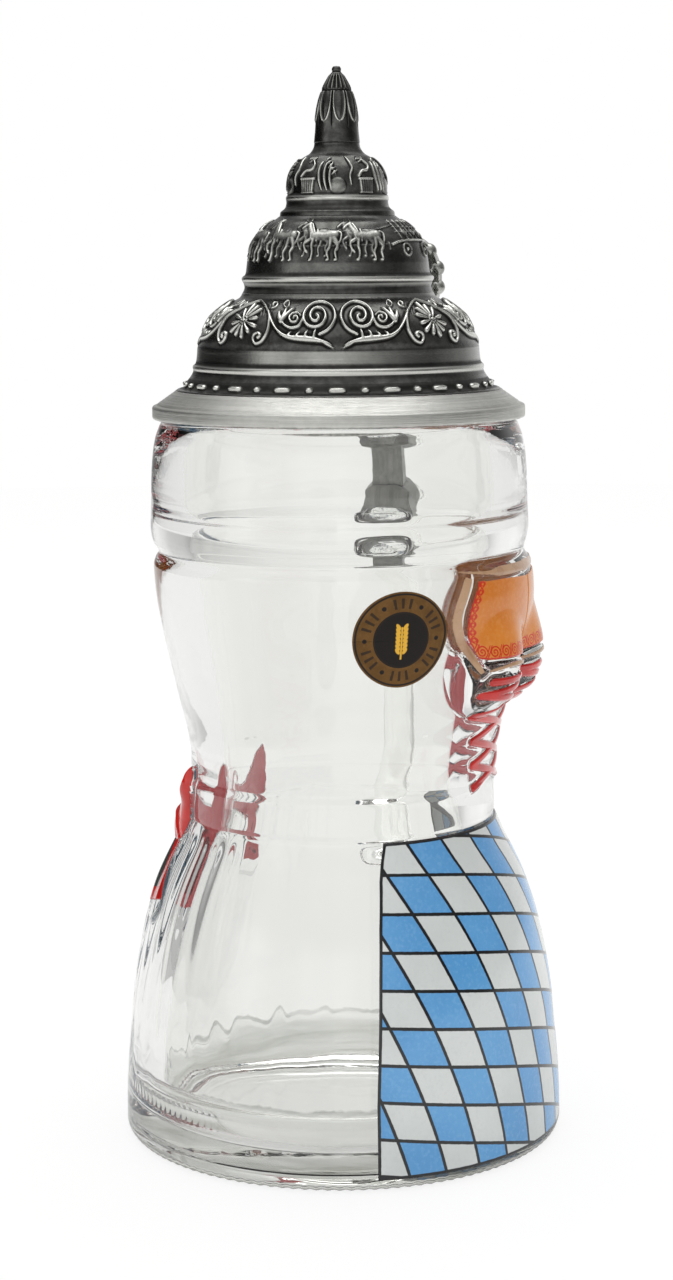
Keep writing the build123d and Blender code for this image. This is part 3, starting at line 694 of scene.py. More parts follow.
def panel_distance(alpha, z):
    """Signed distance in mm to the bodice panel over one mound, negative inside."""
    across = np.abs(alpha)
    side = (across - np.interp(z, *PANEL_SIDE)) * PANEL_SCALE
    low = np.interp(across, *PANEL_LOW) - z
    top = z - np.interp(across, [0.0, 14.0, 30.0], [135.7, 136.3, 136.5])
    middle = (0.25 - across) * PANEL_SCALE
    return np.maximum(np.maximum(side, low), np.maximum(top, middle))


def lace_distance(alpha, z):
    """Signed distance in mm to the laces, negative inside."""
    best = np.full(alpha.shape, 1e9)
    for (a0, z0), (a1, z1) in LACES:
        distance, _ = segment_distance(alpha * LACE_SCALE, z,
                                       a0 * LACE_SCALE, z0, a1 * LACE_SCALE, z1)
        best = np.minimum(best, distance)
    return best - LACE_HALF


def tail_half_width(along):
    return 2.7 + 1.9 * along


def add_bodice(radius, alpha, z):
    """Raised front, panels, ribs, hem, neckline and laces."""
    across = np.abs(alpha)
    near = (across < 48) & (z > 84) & (z < 142)
    if not near.any():
        return radius
    radius = radius + 0.7 * ease(30.0, 20.0, across) * ease(84.0, 90.0, z) * ease(113.0, 107.0, z)
    panel = panel_distance(alpha, z)
    swell = 0.40 * ease(0.30, -0.30, panel) - 0.34 * gauss(panel, 0.85, 0.55)
    radius = radius + np.where(near, swell, 0)
    rib, _ = band_distance(across, z, RIB)
    radius = radius + np.where(near, 0.85 * ease(1.6, 0.8, rib), 0)
    hem, _ = band_distance(alpha, z, HEM)
    radius = radius + np.where(near, 0.6 * ease(1.0, 0.4, hem), 0)
    neck = 0.35 * ease(1.7, 1.0, np.abs(z - 138.2)) * ease(34.0, 22.0, across)
    radius = radius + np.where(near & (across < 36), neck, 0)
    lace = 0.70 * ease(0.5, -0.5, lace_distance(alpha, z))
    return radius + np.where(near & (z < 115), lace, 0)


def add_bow(radius, base, alpha, z):
    """Two leaf-shaped loops with folds towards the knot, and two tails."""
    turn = np.mod(alpha, 360.0)
    side = np.abs(turn - 180.0)
    near = (side < 46) & (z > 68) & (z < 98)
    if near.any():
        inside = np.where(turn > 180.0, loop_inside(side, z, LOOP_LEFT),
                          loop_inside(side, z, LOOP_RIGHT))
        full = np.maximum(39.35 + 0.115 * (77.0 - z)
                          + 1.3 * ease(80.5, 85.5, z) * (turn < 180.0) - base, 1.2)
        lift = full * np.sqrt(np.clip(1 - (1 - np.clip(inside / 3.4, 0, 1)) ** 2, 0, 1))
        lift = lift * (0.55 + 0.45 * ease(12.0, 24.0, side)) * ease(-0.6, 2.0, side)
        folds = (0.26 * np.cos((z - 79.0 - 0.20 * side) * 2.3) * ease(27.0, 14.0, side)
                 * ease(0.4, 1.4, inside))
        radius = radius + np.where(near, lift + folds, 0)
        knot = 1 - (side * 0.66 / 3.4) ** 2 - ((z - 80.6) / 4.6) ** 2
        knot = np.sqrt(np.clip(knot, 0, 1))
        radius = np.where(near, np.maximum(radius, base + 3.2 * knot), radius)
    near = (side < 40) & (z > 50) & (z < 84)
    if near.any():
        distance, along = band_distance(180.0 - side, z, TAIL)
        lift = 0.6 * ease(0.9, -0.6, distance - tail_half_width(along))
        radius = radius + np.where(near, lift, 0)
    return radius


def pleats(alpha, z):
    """Pleats of the skirt, narrow towards the back, wide and soft at the sides."""
    across = np.abs(alpha)
    fade = ease(77.4, 72.5, z) * (0.30 * ease(16.0, 40.0, z) + 0.70 * ease(38.0, 66.0, z))
    narrow = ease(100.0, 122.0, across)
    wide = ease(62.0, 76.0, across) * (1 - narrow)
    narrow_wave = 0.5 + 0.5 * np.cos(np.radians(alpha * 360.0 / 8.6))
    wide_wave = 0.5 + 0.5 * np.cos(np.radians((across - 68.0) * 360.0 / 13.5))
    return fade * (narrow * (0.46 * narrow_wave ** 1.3 - 0.18)
                   + wide * (0.24 * wide_wave - 0.12))


def body_radius(alpha, z):
    """Outer radius of the glass over matching arrays of alpha and z."""
    alpha = wrap(alpha)
    base = monotone(WALL_Z, WALL_RADIUS, z)
    radius = base
    for ellipsoid in BUST:
        radius = soft_max(radius, exit_radius(alpha, z, ellipsoid), reach=4.2)
    radius = add_bodice(radius, alpha, z)
    radius = add_bow(radius, base, alpha, z)
    return radius + pleats(alpha, z)


def body_point(alpha, z, offset):
    """Points on the glass skin, moved out along its normal."""
    alpha_step, z_step = 0.15, 0.08

    def at(alpha, z):
        return np.stack([*polar(alpha, body_radius(alpha, z)), z], -1)

    around = at(alpha + alpha_step, z) - at(alpha - alpha_step, z)
    upward = at(alpha, z + z_step) - at(alpha, z - z_step)
    normal = np.cross(upward, around)
    normal /= np.maximum(np.linalg.norm(normal, axis=-1, keepdims=True), 1e-9)
    outward = np.stack([*polar(alpha, np.ones_like(alpha)), np.zeros_like(alpha)], -1)
    normal *= np.sign((normal * outward).sum(-1, keepdims=True))
    return at(alpha, z) + normal * offset


def body_mesh():
    columns = 720
    alpha = np.arange(columns) * 360.0 / columns
    wall_z = np.arange(2.8, 169.9, 0.5)
    wall_radius = body_radius(*np.meshgrid(alpha, wall_z))
    rows = []
    # fine radial ticks under the standing ring
    ticks = 0.5 + 0.5 * np.cos(np.radians(alpha) * (columns / 6.0))
    for radius, z in FOOT:
        share = ease(44.5, 45.6, radius) * ease(52.7, 52.0, radius)
        rows.append((radius, z + 0.24 * share * ticks * (0.12 if radius < 50 else 1.0)))
    rows += zip(wall_radius, wall_z)
    rows += MOUTH
    # the plunger of the mould left a wavy ridge where the wall meets the thick foot
    ridge_z = 16.0
    wave = 1.2 * np.cos(np.radians(alpha * 25.0 + 40)) + 0.7 * np.cos(np.radians(alpha * 41.0))
    wave = wave * ease(62.0, 34.0, np.abs(wrap(alpha - 196.0)))
    cavity_radius, cavity_z = np.array(CAVITY)[::-1].T
    # rows are closer at the shoulder and at the foot
    inner_z = np.concatenate([np.arange(169.9, 151.0, -1.4), np.arange(150.6, 143.0, -0.5),
                              np.arange(142.5, 19.8, -1.4), np.arange(19.5, 14.6, -0.33)])
    for radius, z in zip(monotone(cavity_z, cavity_radius, inner_z), inner_z):
        lift = gauss(z, ridge_z, 2.8) if z < 26 else 0.0
        rows.append((radius - 0.34 * gauss(z, ridge_z, 0.60), z + wave * lift))
    for radius, z in catmull(INNER_FLOOR, 0.7):
        lift = gauss(z, ridge_z, 2.8) if radius > 40 else 0.0
        rows.append((radius, z + wave * lift))
    points = np.zeros((len(rows), columns, 3))
    for i, (radius, z) in enumerate(rows):
        points[i, :, 0], points[i, :, 1] = polar(alpha, radius)
        points[i, :, 2] = z
    points, faces = capped_tube(points, (0, 0, FOOT[0][1]), (0, 0, INNER_FLOOR[-1][1]))
    # alpha grows clockwise seen from above
    return make_mesh("glass_mug", points, [f[:, ::-1] for f in faces])


def handle_mesh():
    path = catmull(HANDLE, 0.7)
    tangent = np.gradient(path, axis=0)
    tangent /= np.linalg.norm(tangent, axis=1)[:, None]
    # superellipse section, flaring where it meets the body
    turn = np.arange(64) * 2 * np.pi / 64
    power = 2 / 3.2
    cosine, sine = np.cos(turn), np.sin(turn)
    across = np.sign(cosine) * np.abs(cosine) ** power * HANDLE_HALF_WIDTH
    out = np.sign(sine) * np.abs(sine) ** power * HANDLE_HALF_THICKNESS
    upper_gap = path[:, 0] - 44.3
    lower_gap = path[:, 0] - np.interp(path[:, 1], WALL_Z, WALL_RADIUS)
    gap = np.where(np.linspace(0, 1, len(path)) < 0.5, upper_gap, lower_gap)
    flare = (1 + 0.34 * np.exp(-np.clip(gap, 0, None) / 1.6))[:, None]
    rows = np.stack([path[:, :1] - out * flare * tangent[:, 1:],
                     across * flare,
                     path[:, 1:] + out * flare * tangent[:, :1]], 2)
    mesh = make_mesh("glass_handle_blank", *capped_tube(rows, rows[0].mean(0), rows[-1].mean(0)))
    fix_normals(mesh)
    return mesh


def build_glass():
    """Body and handle joined into one solid."""
    body = link("tmp_body", body_mesh())
    handle = link("tmp_handle", handle_mesh())
    union = body.modifiers.new("weld", "BOOLEAN")
    union.operation = "UNION"
    union.object = handle

    def joined_by(solver):
        union.solver = solver
        depsgraph = bpy.context.evaluated_depsgraph_get()
        return bpy.data.meshes.new_from_object(body.evaluated_get(depsgraph))

    joined = joined_by("MANIFOLD")
    # a result smaller than the body means that the fast solver refused the meshes
    if len(joined.polygons) < len(body.data.polygons):
        joined = joined_by("EXACT")
    bpy.data.objects.remove(body)
    bpy.data.objects.remove(handle)
    joined.name = "glass_mug"
    joined.polygons.foreach_set("use_smooth", np.ones(len(joined.polygons), bool))
    joined.materials.clear()
    add_object("glass_mug", joined, "mug", MAT_GLASS, ("glass_body", "glass_handle"))


build_glass()


# ------------------------------------------------------------------ films on the glass
def film(name, alpha, z, material, node, attributes=None, proud=0.11, keep=None):
    """A thin closed skin over a grid of (alpha, z), standing `proud` of the glass and
    sunk slightly into it. `keep` marks the grid points that belong to it."""
    sunk = 0.07
    rows, columns = alpha.shape
    count = rows * columns
    points = np.vstack([body_point(alpha, z, offset).reshape(-1, 3)
                        for offset in (proud, -sunk)])
    cells = grid(columns, rows, False)
    if keep is not None:
        cells = cells[keep.ravel()[cells].all(1)]
    # edges that belong to one cell only carry the side walls
    edges = np.vstack([cells[:, pair] for pair in ([0, 1], [1, 2], [2, 3], [3, 0])])
    _, index, uses = np.unique(np.sort(edges, 1), axis=0, return_index=True,
                               return_counts=True)
    rim = edges[index[uses == 1]]
    side = np.stack([rim[:, 1], rim[:, 0], rim[:, 0] + count, rim[:, 1] + count], 1)
    faces = np.vstack([cells, cells[:, ::-1] + count, side])
    used = np.unique(faces)
    renumber = np.full(2 * count, -1)
    renumber[used] = np.arange(len(used))
    layers = {key: np.concatenate([v.ravel(), v.ravel()])[used]
              for key, v in (attributes or {}).items()}
    layers["back"] = np.concatenate([np.zeros(count), np.ones(count)])[used]
    mesh = make_mesh(name, points[used], [renumber[faces]], layers)
    if mesh.polygons[0].normal.dot(mesh.polygons[0].center) < 0:
        mesh.flip_normals()
    add_object(name, mesh, "mug", material, (node,))


def patch(alpha_range, z_range):
    """Grid over two (start, stop, step) ranges."""
    return np.meshgrid(np.arange(*alpha_range), np.arange(*z_range))


SIDES = ((1, "right"), (-1, "left"))     # the figure's own right and left
FILM_STEP = 0.13
APRON_LOW, APRON_TOP = 3.0, 77.0
# The apron's two families of printed lines lie where a quadratic takes whole values.
# Factors of 1, alpha, z, alpha^2, alpha * z, z^2; the second family's are for alpha / 50, z / 50
LINES_U = (7.904787, 0.0337671, -0.1049566, -0.000142613, -0.000186381, -0.0000502669)
LINES_V = (2.7633, -5.3523, 0.3604, 0.0952, 1.1188, 0.4947)


def quadratic(factors, a, z):
    c0, c1, c2, c3, c4, c5 = factors
    return c0 + c1 * a + c2 * z + c3 * a * a + c4 * a * z + c5 * z * z


def lines_u(alpha, z):
    return quadratic(LINES_U, alpha, z)


def lines_v(alpha, z):
    return quadratic(LINES_V, alpha / 50.0, z / 50.0)


def build_apron():
    def half_angle(z):
        return np.interp(z, [3, 20, 30, 40, 48, 59, 69, 73, 77],
                         [64.0, 64.0, 63.5, 63.0, 62.6, 61.8, 60.4, 59.2, 57.6])

    columns, rows = ((330, 210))
    z = np.linspace(APRON_LOW, APRON_TOP, rows)[:, None]
    alpha = np.linspace(-1, 1, columns)[None, :] * half_angle(z)
    z = z + 0.0 * alpha
    mm_per_degree = np.radians(1) * np.interp(z, WALL_Z, WALL_RADIUS)
    heights = np.arange(0, 80, 0.5)
    slope = np.gradient(np.interp(heights, WALL_Z, WALL_RADIUS), 0.5)
    stretch = np.sqrt(1 + np.interp(z, heights, slope) ** 2)

    def steepness(lines):
        around = (lines(alpha + 0.5, z) - lines(alpha - 0.5, z)) / mm_per_degree
        upward = (lines(alpha, z + 0.5) - lines(alpha, z - 0.5)) / stretch
        return np.hypot(around, upward)

    edge = np.minimum.reduce([(half_angle(z) - np.abs(alpha)) * mm_per_degree,
                              (APRON_TOP - z) * stretch, z - APRON_LOW])
    film("apron_print", alpha, z, apron_material(), "apron_decal",
         {"pu": lines_u(alpha, z), "pv": lines_v(alpha, z), "pgu": steepness(lines_u),
          "pgv": steepness(lines_v), "pedge": edge})


def hem_scrolls(along, across):
    """Running spirals with pairs of leaning strokes between them; `across` counts from
    the edge inwards."""
    pitch, height, arm_step = 3.15, 3.3, 0.66
    local = along - np.round(along / pitch) * pitch
    level = across - height * 0.50
    radius = np.hypot(local, level * 0.92)
    turn = np.arctan2(level, local)
    arm = np.abs(((radius / arm_step - turn / (2 * np.pi)) % 1.0) - 0.5) * arm_step
    spiral = ease(0.20, 0.11, arm) * (radius < height * 0.44)
    lean = local - np.sign(local + 1e-9) * pitch / 2 + (across - height / 2) * 0.42
    lean = (lean + pitch / 2) % pitch - pitch / 2
    stems = ease(0.17, 0.09, np.abs(np.abs(lean) - 0.26)) * (radius > height * 0.36)
    rail = ease(0.20, 0.10, np.abs(across - 0.26))
    return np.maximum(np.maximum(spiral, stems), rail) * (across > 0) * (across < height)


def panel_ink(alpha, z):
    """Scroll border along the hem and twisted border along the side of a panel."""
    from_low = z - np.interp(alpha, *PANEL_LOW)
    from_side = (np.interp(z, *PANEL_SIDE) - alpha) * PANEL_SCALE
    hem = hem_scrolls(alpha * 0.84 - 1.5, from_low)
    # a twist of two strands with a loop in every turn
    width, pitch = 2.3, 3.6
    swing = 0.34 * np.sin(z * 2 * np.pi / pitch)
    strands = [from_side - width * (0.48 + way * swing) for way in (1, -1)]
    loop = np.hypot(((z / (pitch / 2)) % 1.0 - 0.5) * (pitch / 2), from_side - width * 0.48)
    side = np.maximum.reduce([ease(0.26, 0.14, np.abs(strand)) for strand in strands]
                             + [ease(0.16, 0.08, np.abs(loop - 0.42)),
                                ease(0.18, 0.09, np.abs(from_side - 0.16))])
    side = side * (from_side > 0) * (from_side < width) * (from_low > 3.0)
    return np.clip(np.maximum(hem, side), 0, 1)


def build_panels():
    material = panel_material()
    for sign, label in SIDES:
        alpha, z = patch((0.2, 33.6, FILM_STEP / 0.82), (117.0, 137.0, FILM_STEP))
        film(f"bodice_panel_{label}", sign * alpha, z, material, "bodice_panels",
             {"ink": panel_ink(alpha, z)},
             keep=panel_distance(alpha, z) < 0.05)


def build_trim():
    """Tan enamel on the ribs, the neckline and the hem."""
    # the paler back colour of the tan is painted light for daylight through the enamel
    material = enamel_material("tan_enamel", colour=(0.46, 0.28, 0.155),
                               dark=(0.38, 0.21, 0.115), light=(0.52, 0.33, 0.20),
                               back=(0.55, 0.40, 0.30), rough=0.22)
    step = FILM_STEP / BAND_SCALE

    def trim(name, alpha, z, keep):
        film(name, alpha, z, material, "bodice_trim", keep=keep)

    alpha, z = patch((24.0, 39.5, step), (114.0, 139.4, FILM_STEP))
    distance, along = band_distance(alpha, z, RIB)
    half = np.interp(along, [0.0, 0.04, 0.5, 0.8, 1.0], [0.7, 1.05, 1.15, 0.95, 0.5])
    for sign, label in SIDES:
        trim(f"bodice_rib_{label}", sign * alpha, z,
             (distance < half) & (along > 0.01) & (along < 0.99))
    alpha, z = patch((-36, 36.2, step), (135.4, 141.0, FILM_STEP))
    distance, _ = band_distance(alpha, z, NECK)
    trim("neckline_band", alpha, z,
         distance < np.interp(np.abs(alpha), [0, 19, 23, 34], [1.25, 1.15, 0.5, 0.22]))
    alpha, z = patch((-27.4, 27.6, step), (113.6, 119.0, FILM_STEP))
    distance, _ = band_distance(alpha, z, HEM)
    trim("bodice_hem", alpha, z,
         distance < np.interp(np.abs(alpha), [0, 16, 24, 27], [0.42, 0.46, 0.40, 0.25]))


def build_red_enamel():
    """Lacing at the front; loops and tails of the bow at the back."""
    # paler red for the inner faces, painted light for daylight through the enamel
    red_backlit = (0.92, 0.200, 0.215)
    red = enamel_material("red_enamel", colour=(0.60, 0.014, 0.008),
                          dark=(0.44, 0.006, 0.004), light=(0.70, 0.03, 0.02),
                          back=red_backlit, rough=0.07)
    alpha, z = patch((-28, 28.2, FILM_STEP / LACE_SCALE), (85.6, 115.0, FILM_STEP))
    film("lacing", alpha, z, red, "lacing_enamel",
         keep=lace_distance(alpha, z) < 0.12)
    for (sign, label), outline in zip(SIDES, (LOOP_RIGHT, LOOP_LEFT)):
        side, z = patch((0.6, 38.4, 0.24), (71.0, 96.0, 0.17))
        film(f"bow_loop_{label}", 180.0 - sign * side, z, red, "bow_enamel",
             keep=loop_inside(side, z, outline) > 0.12)
    striped = enamel_material("tail_enamel", colour=(0.58, 0.016, 0.010),
                              dark=(0.40, 0.008, 0.006), back=red_backlit, rough=0.1,
                              striped=True)
    # per tail: share of the full width, path of the stripe, narrowing of the stripe
    tails = ((1.0, STRIPE, 1.0), (0.62, TAIL, 2.6))
    for (sign, label), (share, stripe_path, narrowing) in zip(SIDES, tails):
        side, z = patch((2.0, 38.0, 0.26), (55.5, 82.5, 0.18))
        distance, along = band_distance(180.0 - side, z, TAIL)
        off, place = band_distance(180.0 - side, z, stripe_path)
        stripe = (ease(0.16, 0.24, place) * ease(0.90, 0.84, place)
                  * ease(1.75, 1.25, off * narrowing))
        inside = distance < tail_half_width(along) * share - 0.15
        film(f"bow_tail_{label}", 180.0 - sign * side, z, striped, "bow_enamel",
             {"stripe": stripe}, keep=inside & (along > 0.0) & (along < 0.995))


def build_label():
    """Round label on the figure's right, with an ear of barley in the middle."""
    centre_alpha, centre_z = 53.8, 124.5
    mm_per_degree = math.radians(1) * 42.6
    rings, spokes = ((84, 260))
    radius = np.linspace(0.02, LABEL_RADIUS, rings)[:, None]
    turn = np.linspace(0, 2 * np.pi, spokes)[None, :]
    alpha = centre_alpha + radius * np.cos(turn) / mm_per_degree
    z = centre_z + radius * np.sin(turn) * 0.982
    x, y = -radius * np.cos(turn), radius * np.sin(turn)
    mark = np.zeros(alpha.shape)
    for k in range(7):
        for side in (-1, 1):
            px, py = x - side * 0.85, y - (-2.6 + k * 0.95)
            cosine, sine = math.cos(side * 0.6), math.sin(side * 0.6)
            grain = (((px * cosine - py * sine) / 0.42) ** 2
                     + ((px * sine + py * cosine) / 0.85) ** 2)
            mark = np.maximum(mark, ease(1.25, 0.75, grain))
    mark = np.maximum(mark, ease(0.28, 0.14, np.abs(x)) * (y < 3.0) * (y > -4.6))
    film("round_label", alpha, z, label_material(), "round_label",
         {"lr": radius + 0 * alpha, "lth": turn + 0 * alpha, "lmark": mark}, proud=0.14)


build_apron()
build_panels()
build_trim()
build_red_enamel()
build_label()

# ------------------------------------------------------------------ lid: dome in three tiers
SEAT = 178.45                    # z where the dome sits on the rim
# Outer profiles upwards, (radius, z)
LOWER = [(38.15, SEAT), (37.9, 178.75), (37.0, 178.95), (36.2, 179.3), (35.75, 179.9),
         (35.55, 180.6), (35.0, 181.3), (34.4, 182.2), (34.05, 183.0), (34.15, 183.35),
         (34.25, 183.8), (34.15, 184.25), (33.6, 184.6), (33.35, 185.4), (33.15, 187.0),
         (33.0, 188.6), (32.75, 190.0), (32.15, 191.7), (31.3, 193.5), (30.1, 195.4),
         (28.4, 197.2), (26.2, 198.8), (24.2, 199.9), (22.95, 201.0)]
MIDDLE = [(22.95, 201.0), (22.75, 201.9), (22.72, 202.6), (22.9, 203.0), (22.85, 203.3),
          (22.95, 203.7), (22.95, 204.3), (22.75, 204.75), (22.2, 205.0), (21.95, 205.6),
          (21.8, 206.6), (21.6, 208.2), (21.25, 210.2), (20.6, 212.1), (19.6, 213.9),
          (18.2, 215.5), (16.4, 216.9), (14.5, 217.9), (13.55, 218.6)]
UPPER = [(13.55, 218.6), (13.75, 219.1), (13.75, 219.6), (13.2, 220.0), (12.75, 220.35),
         (12.5, 220.8), (12.35, 221.4), (12.3, 222.0), (12.45, 222.4), (12.45, 223.0),
         (12.2, 223.3), (11.95, 223.7), (11.9, 225.0), (11.75, 226.6), (11.35, 228.2),
         (10.5, 229.8), (9.3, 231.1), (7.8, 232.1), (6.4, 232.9), (5.7, 233.8),
         (5.35, 234.6), (5.25, 235.4)]
# Inner profiles downwards, (radius, z)
LOWER_INNER = [(22.4, 200.4), (21.3, 199.4), (24.6, 197.4), (28.2, 193.6), (30.4, 189.0),
               (31.2, 184.4), (31.9, 181.6), (34.6, 178.6), (35.0, SEAT)]
MIDDLE_INNER = [(13.2, 218.2), (12.4, 217.4), (16.2, 215.2), (18.6, 211.6), (19.6, 207.4),
                (20.0, 203.6), (21.0, 200.8), (22.4, 200.4)]
UPPER_INNER = [(2.6, 235.4), (2.6, 232.8), (5.2, 231.4), (8.2, 228.0), (9.4, 222.4),
               (10.2, 219.4), (12.4, 217.4), (13.2, 218.2)]


def inset(points, low, high, depth):
    """Sinks a profile between two heights, so that a frieze can stand up from it."""
    return [(r - depth * float(ease(low - 0.6, low + 0.6, z) * ease(high + 0.6, high - 0.6, z)),
             z) for r, z in points]


def smooth_profile(points, step):
    """Rounded profile in equal steps along the wall."""
    p = resample(catmull(points, 0.25), step)
    for _ in range(2):
        q = p.copy()
        q[1:-1] = (p[:-2] + 2 * p[1:-1] + p[2:]) / 4
        p = q
    length = arc_length(p)
    t = np.linspace(0, length[-1], int(length[-1] / step))
    return np.stack([np.interp(t, length, p[:, 0]), np.interp(t, length, p[:, 1])], 1)


def wall_map(profile):
    """Rising heights of a profile and the arc length at each."""
    z = np.maximum.accumulate(profile[:, 1] + np.arange(len(profile)) * 1e-6)
    return z, arc_length(profile)


class Relief:
    """A height field over (phi, z) on a surface of revolution, periodic in phi.
    Marks are stamped in millimetres: along = radius * phi, up = arc length of the wall.
    Half widths of strokes are multiplied by `weight`."""

    def __init__(self, period, radius, profile, low, high, cell=0.1, weight=1.0):
        self.period, self.cell, self.weight = period, cell, weight
        self.wall_z, self.wall_up = wall_map(profile)
        self.scale = math.radians(1) * radius
        self.columns = int(round(period * self.scale / cell))
        self.column = period * self.scale / self.columns
        self.start = self.up(low) - 1.0
        self.rows = int((self.up(high) + 1.0 - self.start) / cell) + 2
        self.height = np.zeros((self.rows, self.columns), np.float32)

    def up(self, z):
        return np.interp(z, self.wall_z, self.wall_up)

    def stamp(self, along, up, half_along, half_up, height, power=0.5):
        reach = max(half_along, half_up)
        i0 = max(int((up - reach - self.start) / self.cell), 0)
        i1 = min(int((up + reach - self.start) / self.cell) + 2, self.rows)
        if i1 <= i0:
            return
        j0 = int(math.floor((along - reach) / self.column))
        j1 = int(math.ceil((along + reach) / self.column)) + 1
        x, y = np.meshgrid(np.arange(j0, j1) * self.column - along,
                           self.start + np.arange(i0, i1) * self.cell - up)
        distance = (x / half_along) ** 2 + (y / half_up) ** 2
        mark = height * np.clip(1 - distance, 0, 1) ** power
        columns = np.arange(j0, j1) % self.columns
        block = self.height[i0:i1][:, columns]
        np.maximum(block, mark, out=block)
        self.height[i0:i1, columns] = block

    def stroke(self, points, height, half_width=None, mirror=False):
        """Points are (phi, z, half width), or (phi, z) with one half width for all."""
        p = np.asarray(points, float)
        if p.shape[1] == 2:
            p = np.c_[p, np.full(len(p), half_width)]
        p[:, 1] = self.up(p[:, 1])
        for sign in ((1, -1) if mirror else (1,)):
            q = p.copy()
            q[:, 0] = sign * p[:, 0] * self.scale
            for along, up, half in catmull(q, 0.09):
                half = max(half, 0.05) * self.weight
                self.stamp(along, up, half, half, height * min(1.0, 0.45 + half / 0.5))

    def blob(self, phi, z, half_along, half_up, height, mirror=False, power=0.5):
        for sign in ((1, -1) if mirror else (1,)):
            self.stamp(sign * phi * self.scale, self.up(z), half_along, half_up, height, power)

    def finish(self, radius):
        """Softens the field, then works out how far each point stands above (positive) or
        below (negative) its surroundings within about `radius`."""
        h = self.height
        h = (np.roll(h, 1, 1) + 2 * h + np.roll(h, -1, 1)) / 4
        self.height = h.copy()
        self.height[1:-1] = (h[:-2] + 2 * h[1:-1] + h[2:]) / 4
        n = max(1, int(radius / self.cell))
        mean = self.height
        for _ in range(2):
            mean = sum(np.roll(mean, k, 1) for k in range(-n, n + 1)) / (2 * n + 1)
            pad = np.pad(mean, ((n, n), (0, 0)), mode="edge")
            mean = sum(pad[k:k + len(mean)] for k in range(2 * n + 1)) / (2 * n + 1)
        self.cavity = self.height - mean

    def sample(self, field, phi, z):
        """Bilinear sample, rows over z and columns over phi."""
        x = (phi % self.period) * self.scale / self.column
        y = (self.up(z) - self.start) / self.cell
        j = np.floor(x).astype(int)
        fx = x - j
        i = np.clip(np.floor(y).astype(int), 0, self.rows - 2)
        fy = np.clip(y - i, 0, 1)[:, None]
        j0, j1 = j % self.columns, (j + 1) % self.columns
        low = field[i][:, j0] * (1 - fx) + field[i][:, j1] * fx
        high = field[i + 1][:, j0] * (1 - fx) + field[i + 1][:, j1] * fx
        inside = (z >= self.wall_z[0]) & (z <= self.wall_z[-1])
        return (low * (1 - fy) + high * fy) * inside[:, None]


def build_tier(name, outer, inner, frieze, columns, bands, dark, ledge=None):
    """One tier of the dome, plain inside. bands and dark are (low z, high z, strength) of
    the polished and the darkened zones."""
    count, z = len(outer), outer[:, 1]
    profile = np.vstack([outer, inner])

    def fields(phi):
        relief = np.zeros((len(profile), len(phi)))
        cavity = np.zeros_like(relief)
        relief[:count] = frieze.sample(frieze.height, phi, z)
        cavity[:count] = frieze.sample(frieze.cavity, phi, z)
        if ledge is not None:
            extra = ledge(phi, z)
            relief[:count] = np.maximum(relief[:count], extra)
            cavity[:count] += extra * 0.6
        band = np.zeros(len(profile))
        for low, high, strength in bands:
            zone = strength * ease(low - 0.25, low + 0.1, z) * ease(high + 0.25, high - 0.1, z)
            band[:count] = np.maximum(band[:count], zone)
        band[count:] = 1.0
        for low, high, strength in dark:
            zone = strength * ease(low - 0.3, low, z) * ease(high + 0.3, high, z)
            cavity[:count] -= zone[:, None]
        return relief, {"relief": relief, "cavity": cavity, "band": band[:, None] + 0 * relief}

    mesh = turned_mesh(name, profile, columns, fields)
    add_object(name, mesh, "lid", MAT_ANTIQUE, ("lid_dome",))


LID_STEP = 0.21
lower = smooth_profile(inset(inset(LOWER, 189.4, 200.6, 0.62), 196.9, 201.6, 0.55), LID_STEP)
middle = smooth_profile(inset(inset(MIDDLE, 201.0, 216.5, 0.42), 200.6, 203.6, 0.45), LID_STEP)
upper = smooth_profile(inset(UPPER, 218.8, 231.5, 0.45), LID_STEP * 0.95)

